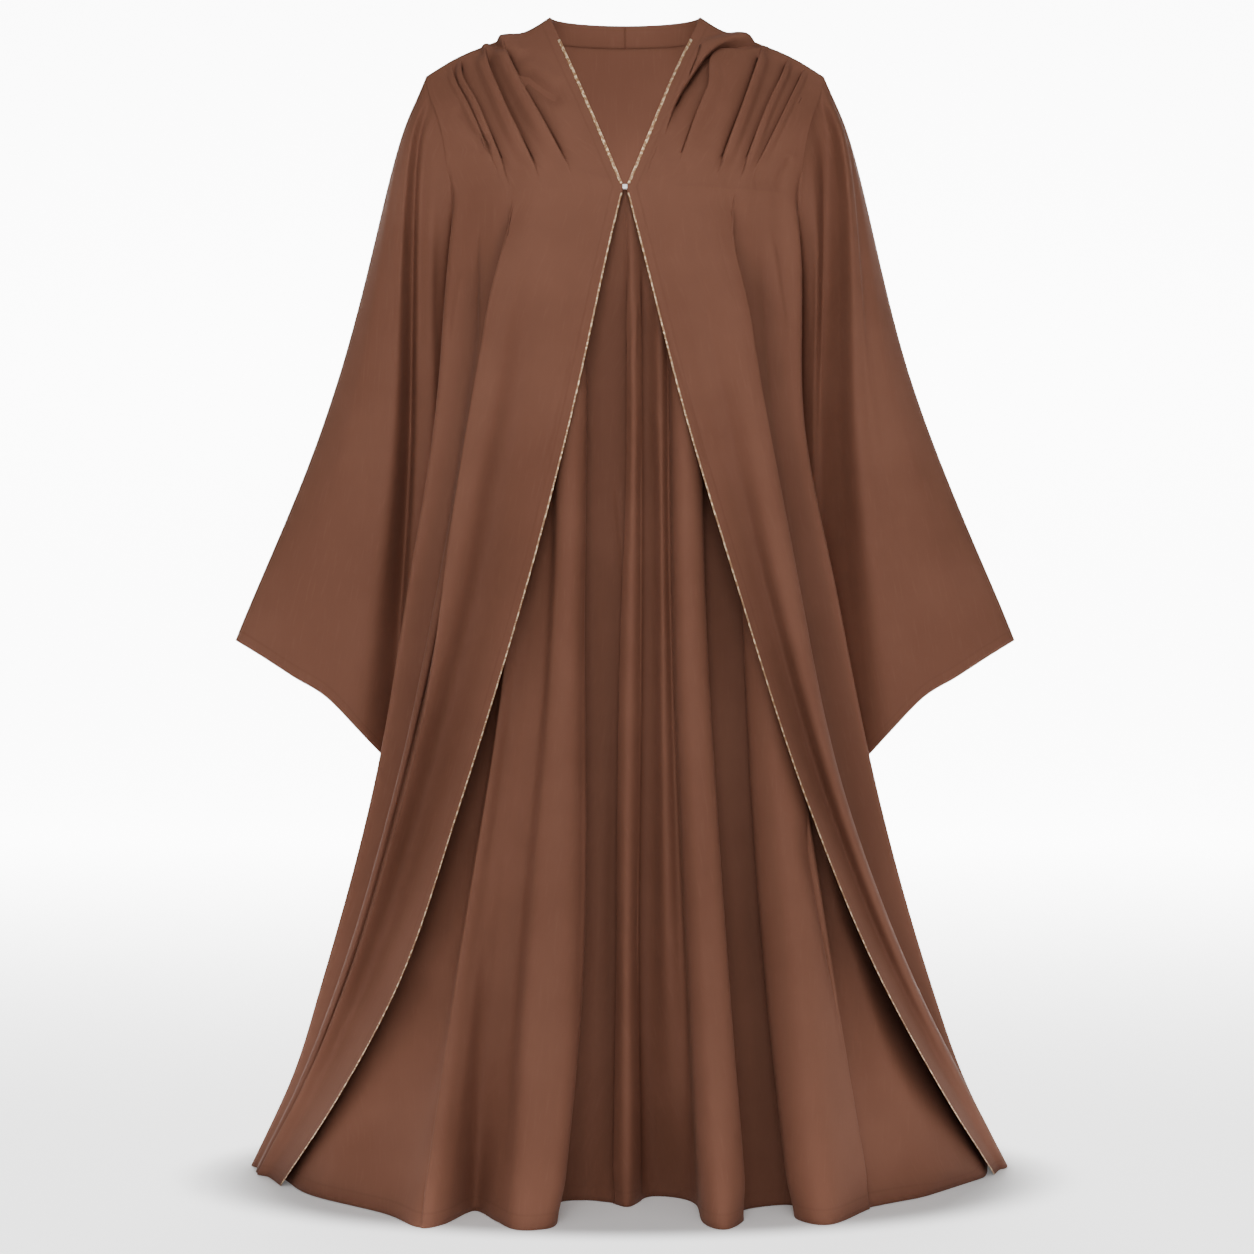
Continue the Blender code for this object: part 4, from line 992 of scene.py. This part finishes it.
sleeveInnerRight = inMetres((
    (-200, 221.5, -62, -240, 227, -36, -572, 269, -16, -905),
    (-330, 208.5, -20, -362, 216.5, -4, -585, 267, -4, -907),
))
sleeveInnerLeft = inMetres((
    (-200, 221.5, -62, -240, 226.5, -12, -572, 269, -12, -905),
    (-330, 208.5, -14, -362, 216.5, 6, -585, 267, 0, -907),
))
sleeveBack = inMetres((
    (-220, 221, 66, -250, 229, 34, -572, 272, 22, -903),
    (-145, 233, 62, -180, 254, 52, -545, 290, 40, -888),
    (-105, 248, 50, -150, 280, 62, -510, 336, 54, -844),
    (-88, 256, 40, -142, 305, 58, -478, 390, 50, -804),
    (-79, 262, 24, -135, 327, 42, -453, 434, 32, -775),
))
sleeveStations = (0.0, 0.12, 0.5, 1.0)
sleeve = {
    "rows": 150, "fineness": 10, "clearance": 0.0004, "allowance": 0.0035, "paintedShadeShare": 0.35,
    "underarmRun": 0.06, "crowding": 1.15, "slack": 0.0012, "slackSize": 0.10, "smoothRows": 8,
}

sleeveCreasesRight = (
    (((420, 105), (417, 150), (417, 225), (417, 300), (417, 412)), 0.8, 5, 14),
    (((408, 150), (407, 225), (404, 300), (401, 400), (400, 520), (398, 640)), -1.4, 12, 9),
    (((392, 300), (388, 420), (380, 540), (372, 660)), 3, 18, 8),
    (((432, 130), (436, 200), (434, 300), (428, 420)), 1.6, 6, 8),
    (((403, 420), (403, 500), (401, 600), (398, 700)), -1, 12, 9),
    (((350, 430), (335, 520), (318, 600), (305, 660)), -2, 26, 20),
)
sleeveCreasesLeft = (
    (((825, 90), (832, 125), (836, 200), (840, 275), (844, 362), (846, 400), (851, 462), (856, 525)),
     0.8, 6, 14),
    (((838, 130), (848, 210), (853, 300), (858, 400), (866, 500), (874, 600)), -0.8, 8, 14),
    (((806, 200), (806, 300), (808, 400), (816, 500), (832, 620)), -3, 12, 12),
    (((900, 430), (915, 520), (930, 600), (945, 660)), -2, 20, 26),
)


def sleeveGrid(sign, valley, inner):
    table = np.vstack([sleeveOuter, valley, inner, sleeveBack])
    heights, lower = table[:, 0], table[:, 1:].reshape(-1, 3, 3)
    count, underarm = len(heights), len(heights) - len(sleeveBack) - 1
    places = np.linspace(0, count, count * sleeve["fineness"] + 1)[:-1]
    ringHeights = np.interp(places, np.arange(count + 1), np.append(heights, heights[0]))
    around = np.concatenate([lower[-2:], lower, lower[:2]]).reshape(count + 4, -1)
    ringLower = runThrough(places, np.arange(-2, count + 2), around).reshape(len(places), -1, 3)
    starts = []
    for place, z in zip(places, ringHeights):
        armHalf, depth = seamAt(z, back=place > underarm)
        drop = sleeve["clearance"] * softStep(1 - (z - underarmZ) / sleeve["underarmRun"])
        starts.append((armHalf + sleeve["clearance"], depth, z - drop))
    lines = np.concatenate([np.array(starts)[:, None], ringLower], axis=1).swapaxes(0, 1)
    shares = np.linspace(0, 1, sleeve["rows"]) ** sleeve["crowding"]
    grid = np.array([runThrough(t, sleeveStations, lines) for t in shares])
    grid[..., 0] *= sign
    return np.concatenate([grid, grid[:, :1]], axis=1)


def ringFrames(grid):
    # as wallFrames, for a grid whose last column meets its first one
    along = np.roll(grid[:, :-1], -1, axis=1) - np.roll(grid[:, :-1], 1, axis=1)
    down = np.gradient(grid[:, :-1], axis=0)
    out = unit(np.cross(down, along))
    return np.concatenate([out, out[:, :1]], axis=1)


print("sleeves")
sleeves = {}
for side, sign, valley, inner, creases in (
    ("right", -1, sleeveValleyRight, sleeveInnerRight, sleeveCreasesRight),
    ("left", 1, sleeveValleyLeft, sleeveInnerLeft, sleeveCreasesLeft),
):
    grid = sleeveGrid(sign, valley, inner)
    out = ringFrames(grid) * sign
    relief = creaseRelief(grid, -out[..., 1], creases)
    relief += unevenness(grid, sleeve["slack"], sleeve["slackSize"], 17.0 * sign)
    relief *= softStep(np.arange(len(grid)) / sleeve["smoothRows"])[:, None]
    grid = grid + out * relief[..., None]
    grid[:, -1] = grid[:, 0]
    # the seam allowance, tucked under the body's edge
    grid = np.concatenate([grid[:1] - np.array([sign * sleeve["allowance"], 0, 0]), grid])
    # painted shade: how far the sleeve's folds close round each point darkens its colour, at a share of full
    # strength
    foldShade = enclosure(grid, sign < 0) * sleeve["paintedShadeShare"]
    sleeves[side] = clothSheet(f"sleeve_{side}", grid, flip=sign > 0, foldShade=foldShade)


# Trims: a braid on the cape front's outer face with rows of small beads.
trim = {
    "neckWidth": 0.0033, "edgeWidth": 0.0017, "braidHeight": 0.0007, "columns": 7,
    "neckSpan": (0.137, 0.985), "edgeSpan": (1.004, 9.0), "beadInset": 0.0007,
    "pitchSpread": 0.06, "beadSizes": (0.82, 1.12), "beadRise": 0.35, "beadAside": 0.12,
}
neckBeads = {"span": (0.137, 0.98), "lift": 0.0005, "radius": 0.00052, "pitch": 0.0023}
edgeBeads = {"span": (1.006, 9.0), "lift": 0.0006, "radius": 0.00066, "pitch": 0.0033}


def edgeLine(cape, width, span):
    # points along the cape front's edge at this width in from it, with the way out of the cloth
    out, _ = wallFrames(cape["grid"])
    points, ways = [], []
    for i, level in enumerate(levelsOf(capeFront["yokeRows"], capeFront["skirtRows"])):
        if not span[0] <= level <= span[1]:
            continue
        row = cape["grid"][i]
        reach = np.concatenate([[0], np.cumsum(np.linalg.norm(np.diff(row, axis=0), axis=1))])
        points.append([np.interp(width, reach, row[:, k]) for k in range(3)])
        ways.append([np.interp(width, reach, out[i][:, k]) for k in range(3)])
    return np.array(points), np.array(ways) * cape["sign"]


def braidStrip(name, cape, span, width):
    # the braid is thickest along its middle
    swell = np.sin(np.linspace(0, math.pi, trim["columns"]))
    lift = trim["braidHeight"] * (0.45 + 0.55 * swell)
    lines = [edgeLine(cape, w, span) for w in np.linspace(0.0, width, trim["columns"])]
    strip = np.stack([line + ways * h for (line, ways), h in zip(lines, lift)], axis=1)
    return clothSheet(name, strip, flip=cape["sign"] > 0, thickness=trim["braidHeight"] * 0.7)


def beadRow(bm, cape, width, row, rng):
    radius, pitch = row["radius"], row["pitch"]
    line, ways = edgeLine(cape, width, row["span"])
    line = line + ways * row["lift"]
    steps = np.linalg.norm(np.diff(line, axis=0), axis=1)
    reach = np.concatenate([[0], np.cumsum(steps)])
    for s in np.arange(pitch / 2, reach[-1], pitch):
        s = s + rng.normal(0, pitch * trim["pitchSpread"])
        place = Vector([np.interp(s, reach, line[:, k]) for k in range(3)])
        way = Vector([np.interp(s, reach, ways[:, k]) for k in range(3)]).normalized()
        size = radius * rng.uniform(*trim["beadSizes"])
        made = bmesh.ops.create_icosphere(bm, subdivisions=1, radius=size)
        turn = rng.uniform(0, math.pi)
        aside = Vector((math.sin(turn), 0, math.cos(turn))) * radius * trim["beadAside"]
        for vert in made["verts"]:
            vert.co.rotate(Vector((0, 0, 1)).rotation_difference(way))
            vert.co = place + vert.co + way * size * trim["beadRise"] + aside


def beadsObject(name, cape):
    rng = np.random.default_rng(11)
    bm = bmesh.new()
    inset, width = trim["beadInset"], trim["neckWidth"]
    for place, row in ((inset, neckBeads), (width - inset, neckBeads), (trim["edgeWidth"] / 2, edgeBeads)):
        beadRow(bm, cape, place, row, rng)
    return meshObject(name, bm)


print("trims")
trims, beads = {}, {}
for side, cape in capes.items():
    neck = braidStrip(f"neckBraid_{side}", cape, trim["neckSpan"], trim["neckWidth"])
    edge = braidStrip(f"edgeBraid_{side}", cape, trim["edgeSpan"], trim["edgeWidth"])
    trims[side] = (neck, edge)
    beads[side] = beadsObject(f"trimBeads_{side}", cape)


# Clasp: a square cut stone in a plain setting, where the two front edges meet.
clasp = {"side": 0.0060, "depth": 0.0040, "bevel": 0.0007, "table": 0.62}


def claspStone():
    low, high = (Vector(corner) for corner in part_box("clasp"))
    middle = (low + high) / 2
    bm = bmesh.new()
    bmesh.ops.create_cube(bm, size=1.0)
    front = [f for f in bm.faces if f.normal.y < -0.5]
    bmesh.ops.inset_region(bm, faces=front, thickness=(1 - clasp["table"]) / 2, depth=0.0)
    for vert in bm.verts:
        inTable = abs(vert.co.x) < 0.45 and vert.co.y < -0.4
        vert.co.x *= clasp["side"]
        vert.co.z *= clasp["side"]
        vert.co.y = vert.co.y * clasp["depth"] * (1.0 if inTable else 0.55)
        vert.co += middle
    sharp = [e for e in bm.edges if e.calc_face_angle(0) > 0.5]
    bevel = {"affect": "EDGES", "offset": clasp["bevel"], "segments": 2, "profile": 0.5, "material": -1}
    bmesh.ops.bevel(bm, geom=sharp, **bevel)
    return meshObject("claspStone", bm)


print("clasp")
stone = claspStone()


# Shader helpers: a wrapped socket takes + - * / and the rest as nodes.
class Value:
    def __init__(self, build, socket):
        self.build, self.socket = build, socket

    def maths(self, operation, *others):
        given = [o.socket if isinstance(o, Value) else o for o in others]
        values = dict(enumerate([self.socket, *given]))
        return self.build.node("ShaderNodeMath", {"operation": operation}, values)

    def __add__(self, other):
        return self.maths("ADD", other)

    def __sub__(self, other):
        return self.maths("SUBTRACT", other)

    def __rsub__(self, other):
        return (self * -1) + other

    def __mul__(self, other):
        return self.maths("MULTIPLY", other)

    def __truediv__(self, other):
        return self.maths("DIVIDE", other)

    def sine(self):
        return self.maths("SINE")

    def absolute(self):
        return self.maths("ABSOLUTE")

    def between(self, low, high):
        # 0 below low, 1 above high, smooth between
        settings = {"interpolation_type": "SMOOTHSTEP"}
        values = dict(enumerate([self.socket, low, high, 0.0, 1.0]))
        return self.build.node("ShaderNodeMapRange", settings, values)

    def axes(self):
        # the first two parts of a vector
        parts = self.build.node("ShaderNodeSeparateXYZ", {}, {0: self})
        return parts, Value(self.build, parts.socket.node.outputs[1])


class Shader:
    def __init__(self, name):
        self.material = bpy.data.materials.new(name)
        self.material.use_nodes = True
        self.tree = self.material.node_tree
        self.principled = self.tree.nodes["Principled BSDF"]

    def node(self, kind, settings=None, values=None, output=0):
        made = self.tree.nodes.new(kind)
        for key, value in (settings or {}).items():
            setattr(made, key, value)
        for key, value in (values or {}).items():
            self.feed(made.inputs[key], value)
        return Value(self, made.outputs[output])

    def feed(self, socket, value):
        if isinstance(value, Value):
            value = value.socket
        if isinstance(value, bpy.types.NodeSocket):
            self.tree.links.new(value, socket)
        else:
            socket.default_value = value

    def mix(self, factor, first, second):
        settings = {"data_type": "RGBA", "blend_type": "MIX"}
        return self.node("ShaderNodeMix", settings, {0: factor, 6: first, 7: second}, output=2)

    def bump(self, height, strength, distance):
        values = {"Height": height, "Strength": strength, "Distance": distance}
        return self.node("ShaderNodeBump", {}, values)

    def uv(self, layer):
        return self.node("ShaderNodeUVMap", {"uv_map": layer})

    def objectPlace(self):
        return self.node("ShaderNodeTexCoord", {}, {}, output=3)

    def noise(self, vector, scale, detail, roughness=0.5):
        values = {"Vector": vector, "Scale": scale, "Detail": detail, "Roughness": roughness}
        return self.node("ShaderNodeTexNoise", {}, values)

    def stretched(self, vector, across, down):
        return self.node("ShaderNodeMapping", {}, {0: vector, 3: (across, down, 1.0)})

    def surface(self, **values):
        for key, value in values.items():
            self.feed(self.principled.inputs[key], value)


crepe = {
    "lit": (0.200, 0.085, 0.054, 1.0),
    "deep": (0.172, 0.071, 0.044, 1.0),
    "warm": (0.224, 0.099, 0.064, 1.0),
    "roughness": 0.74,
    "sheen": 0.02,
    "paintedShadeTone": (0.060, 0.024, 0.014, 1.0),
    "foldStart": 0.10,
    "foldEnd": 0.75,
    "paintedShadeWeight": 0.40,
    "grain": 1250.0,
    "twillPitch": 0.0011,
    "slubTone": 0.30,
    "grainTone": 0.22,
    "relief": {"grain": 0.55, "twill": 0.10, "slubs": 0.25, "wefts": 0.20, "groove": 0.9, "stitch": 0.6},
    "reliefShare": 0.30,
    "reliefDepth": 0.00035,
    "grooveEdge": (0.0002, 0.0022),
    "grooveTone": 0.35,
    "stitchEdge": (0.00025, 0.00055),
    "stitchPitch": 0.0026,
    "seamTone": (0.150, 0.062, 0.038, 1.0),
    "sheenTint": (0.95, 0.70, 0.56, 1.0),
}


def crepeCloth(name, frontSeam=None, hemSeam=None):
    shade = Shader(name)
    cloth = shade.uv("cloth")
    fromFront, upFromHem = shade.uv("edges").axes()
    across, down = cloth.axes()
    slow = shade.noise(shade.objectPlace(), 7.0, 3.0)
    slubs = shade.noise(shade.stretched(cloth, 240.0, 26.0), 1.0, 2.0, 0.55)
    wefts = shade.noise(shade.stretched(cloth, 30.0, 300.0), 1.0, 2.0, 0.55)
    grain = shade.noise(cloth, crepe["grain"], 2.0, 0.6)
    twill = ((across + down) * (2 * math.pi / crepe["twillPitch"])).sine()
    tone = shade.mix(slow.between(0.30, 0.72), crepe["deep"], crepe["lit"])
    tone = shade.mix(slubs.between(0.52, 0.78) * crepe["slubTone"], tone, crepe["warm"])
    tone = shade.mix(grain.between(0.35, 0.75) * crepe["grainTone"], tone, crepe["deep"])
    # painted shade: the colour is mixed towards a deep brown where the folds close round the cloth, standing
    # in for the shade that falls there
    foldShade = shade.uv("folds").axes()[0].between(crepe["foldStart"], crepe["foldEnd"])
    tone = shade.mix(foldShade * crepe["paintedShadeWeight"], tone, crepe["paintedShadeTone"])
    relief = crepe["relief"]
    height = grain * relief["grain"] + twill * relief["twill"]
    height = height + slubs * relief["slubs"] + wefts * relief["wefts"]
    seams = None
    for distance, run, seam in ((fromFront, down, frontSeam), (upFromHem, across, hemSeam)):
        if seam is None:
            continue
        # a row of stitches in a shallow groove
        groove = 1 - (distance - seam).absolute().between(*crepe["grooveEdge"])
        stitch = 1 - (distance - seam).absolute().between(*crepe["stitchEdge"])
        stitch = stitch * (run * (2 * math.pi / crepe["stitchPitch"])).sine().between(-0.5, 0.1)
        height = height - groove * relief["groove"] + stitch * relief["stitch"]
        darker = groove * crepe["grooveTone"]
        seams = darker if seams is None else seams + darker
    if seams is not None:
        tone = shade.mix(seams, tone, crepe["seamTone"])
    bump = shade.bump(height, crepe["reliefShare"], crepe["reliefDepth"])
    roughness = slow * 0.10 + grain * 0.10 + (crepe["roughness"] - 0.10)
    shade.surface(**{"Base Color": tone, "Roughness": roughness, "Normal": bump})
    shade.surface(**{"Sheen Weight": crepe["sheen"], "Sheen Roughness": 0.45})
    shade.surface(**{"Sheen Tint": crepe["sheenTint"], "Specular IOR Level": 0.14})
    return shade.material


braid = {
    "deep": (0.26, 0.125, 0.055, 1.0),
    "lit": (0.56, 0.32, 0.16, 1.0),
    "glint": (0.96, 0.72, 0.46, 1.0),
    "pitchDown": 0.0021,
    "pitchAcross": 0.0019,
    "metallic": 0.25,
}


def braidThread(name):
    shade = Shader(name)
    cloth = shade.uv("cloth")
    across, down = cloth.axes()
    lengthwise = (down * (2 * math.pi / braid["pitchDown"])).sine()
    crosswise = (across * (2 * math.pi / braid["pitchAcross"])).sine()
    plait = (lengthwise + crosswise) * 0.25 + 0.5
    glint = shade.noise(cloth, 190.0, 2.0)
    tone = shade.mix(plait.between(0.25, 0.85), braid["deep"], braid["lit"])
    tone = shade.mix(glint.between(0.49, 0.56), tone, braid["glint"])
    shade.surface(**{"Base Color": tone, "Normal": shade.bump(plait, 0.7, 0.0006)})
    shade.surface(**{"Roughness": glint.between(0.35, 0.65) * -0.2 + 0.42, "Metallic": braid["metallic"]})
    return shade.material


glass = {"deep": (0.58, 0.33, 0.16, 1.0), "lit": (1.0, 0.80, 0.56, 1.0), "roughness": 0.16, "coat": 0.5}


def beadGlass(name):
    shade = Shader(name)
    tint = shade.noise(shade.objectPlace(), 190.0, 1.0)
    tone = shade.mix(tint.between(0.46, 0.53), glass["deep"], glass["lit"])
    shade.surface(**{"Base Color": tone, "Metallic": tint.between(0.45, 0.6) * 0.3 + 0.05})
    shade.surface(**{"Roughness": glass["roughness"], "Coat Weight": glass["coat"], "Coat Roughness": 0.06})
    return shade.material


gem = {"clear": (0.99, 0.99, 0.98, 1.0), "cloudy": (0.93, 0.93, 0.93, 1.0), "roughness": 0.22}


def clearStone(name):
    shade = Shader(name)
    cloud = shade.noise(shade.objectPlace(), 600.0, 1.0)
    tone = shade.mix(cloud.between(0.3, 0.7), gem["clear"], gem["cloudy"])
    shade.surface(**{"Base Color": tone, "Roughness": cloud * 0.10 + gem["roughness"]})
    shade.surface(**{"Coat Weight": 1.0, "Coat Roughness": 0.03})
    return shade.material


print("materials")
frontCrepe = crepeCloth("crepeCapeFront", frontSeam=0.0125, hemSeam=0.016)
panelCrepe = crepeCloth("crepePanel", hemSeam=0.016)
sleeveCrepe = crepeCloth("crepeSleeve", hemSeam=0.013)
facingCrepe = crepeCloth("crepeNeckFacing", hemSeam=0.0016)
braidMaterial = braidThread("braidThread")
beadMaterial = beadGlass("beadGlass")
stoneMaterial = clearStone("claspStone")


def worn(obj, material, slot, *nodes):
    obj.data.materials.append(material)
    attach(obj, "root")
    if nodes:
        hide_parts(*nodes)


for side in ("right", "left"):
    neck, edge = trims[side]
    worn(capes[side]["obj"], frontCrepe, "cloth", f"cape_front_{side}")
    worn(inners[side], panelCrepe, "cloth", f"inner_yoke_{side}", f"inner_front_{side}")
    worn(sleeves[side], sleeveCrepe, "cloth", f"sleeve_front_{side}", f"sleeve_back_{side}")
    worn(facings[side], facingCrepe, "cloth", f"neck_facing_{side}")
    worn(neck, braidMaterial, "trim", f"neck_trim_{side}")
    worn(edge, braidMaterial, "trim", f"edge_trim_{side}")
    worn(beads[side], beadMaterial, "trim")
worn(back, panelCrepe, "cloth", "back_yoke", "back")
worn(stone, stoneMaterial, "clasp_stone", "clasp")


# Floor, lights and camera.
studio = {
    "floor": (0.94, 0.94, 0.94, 1.0), "nearGlow": 1.9, "farGlow": 9.0, "underGlow": 0.10, "world": 0.10,
    "sweep": 5.0, "sweepRadius": 1.6, "halfWidth": 3.4, "sideFade": 0.6, "glowFront": (-0.44, -0.36),
    "standX": 0.49, "standY": 0.30, "standMiddle": 0.03, "standEdge": (0.85, 1.35),
}
# Soft square lights: name, place, what they aim at, size, power.
lights = (
    ("sideRight", (-2.5, -3.1, 0.5), (0, 0, -0.7), 2.0, 20.0),
    ("sideLeft", (2.5, -3.1, 0.5), (0, 0, -0.7), 2.0, 18.0),
    ("front", (-0.2, -3.9, 0.3), (0, 0, -0.7), 1.6, 42.0),
    ("top", (0.0, -1.6, 1.7), (0, 0, -0.15), 1.2, 17.0),
    ("neck", (0.0, -1.4, 0.45), (0, 0.10, -0.12), 0.5, 5.0),
    ("inside", (0.0, -0.05, -0.26), (0.0, 0.10, -0.06), 0.12, 0.32),
    ("rear", (0.0, 2.6, 1.9), (0, 0.3, -0.7), 2.4, 8.0),
)


def sweepFloor():
    # a plain pale floor that turns up into a wall far behind
    bm = bmesh.new()
    bmesh.ops.create_grid(bm, x_segments=1, y_segments=60, size=10.0)
    for vert in bm.verts:
        run, radius = vert.co.y - studio["sweep"], studio["sweepRadius"]
        if run > 0:
            angle = min(run / radius, math.pi / 2)
            rise = radius * (1 - math.cos(angle)) + max(run - radius * math.pi / 2, 0)
            vert.co.y = studio["sweep"] + radius * math.sin(angle)
            vert.co.z = rise
        vert.co.z += hemZ - 0.0005
    obj = meshObject("floor", bm, smooth=True)
    shade = Shader("paleFloor")
    across, depth = shade.objectPlace().axes()
    near, far, half = studio["nearGlow"], studio["farGlow"], studio["halfWidth"]
    # the floor and wall glow, dim in front and brighter towards the wall behind
    glow = depth.between(0.0, studio["sweep"]) * (far - near) + near
    glow = glow * (1 - across.absolute().between(half, half + studio["sideFade"]))
    glow = glow * depth.between(*studio["glowFront"])
    # painted shadow: under the hem the floor's glow drops to a faint glow, standing in for the garment's own
    # shade there
    outX, outY = across / studio["standX"], (depth - studio["standMiddle"]) / studio["standY"]
    outside = (outX * outX + outY * outY).between(*studio["standEdge"])
    glow = glow * outside + studio["underGlow"]
    light = shade.mix(glow / studio["farGlow"], (0.0, 0.0, 0.0, 1.0), (1.0, 1.0, 1.0, 1.0))
    shade.surface(**{"Base Color": studio["floor"], "Roughness": 0.8})
    shade.surface(**{"Emission Color": light, "Emission Strength": studio["farGlow"]})
    obj.data.materials.append(shade.material)


def softLight(name, place, aim, size, power):
    light = bpy.data.lights.new(name, "AREA")
    light.shape, light.size, light.energy = "SQUARE", size, power
    obj = linked(name, light)
    obj.location = place
    obj.rotation_euler = (Vector(aim) - Vector(place)).to_track_quat("-Z", "Y").to_euler()


def photoCamera():
    data = bpy.data.cameras.new("camera")
    data.sensor_width = 36.0
    data.lens = data.sensor_width * photo["distance"] * photo["pixelsPerMetre"] / photo["pixels"]
    obj = linked("camera", data)
    middle = (photo["pixels"] / 2 - photo["centreColumn"]) / photo["pixelsPerMetre"]
    obj.location = (middle, -photo["distance"], photo["eyeHeight"])
    obj.rotation_euler = (math.pi / 2, 0, 0)
    bpy.context.scene.camera = obj


print("studio")
sweepFloor()
for row in lights:
    softLight(*row)
world = bpy.data.worlds.new("studio")
world.use_nodes = True
sky = world.node_tree.nodes["Background"].inputs
sky["Color"].default_value = (1.0, 1.0, 1.0, 1.0)
sky["Strength"].default_value = studio["world"]
bpy.context.scene.world = world
photoCamera()
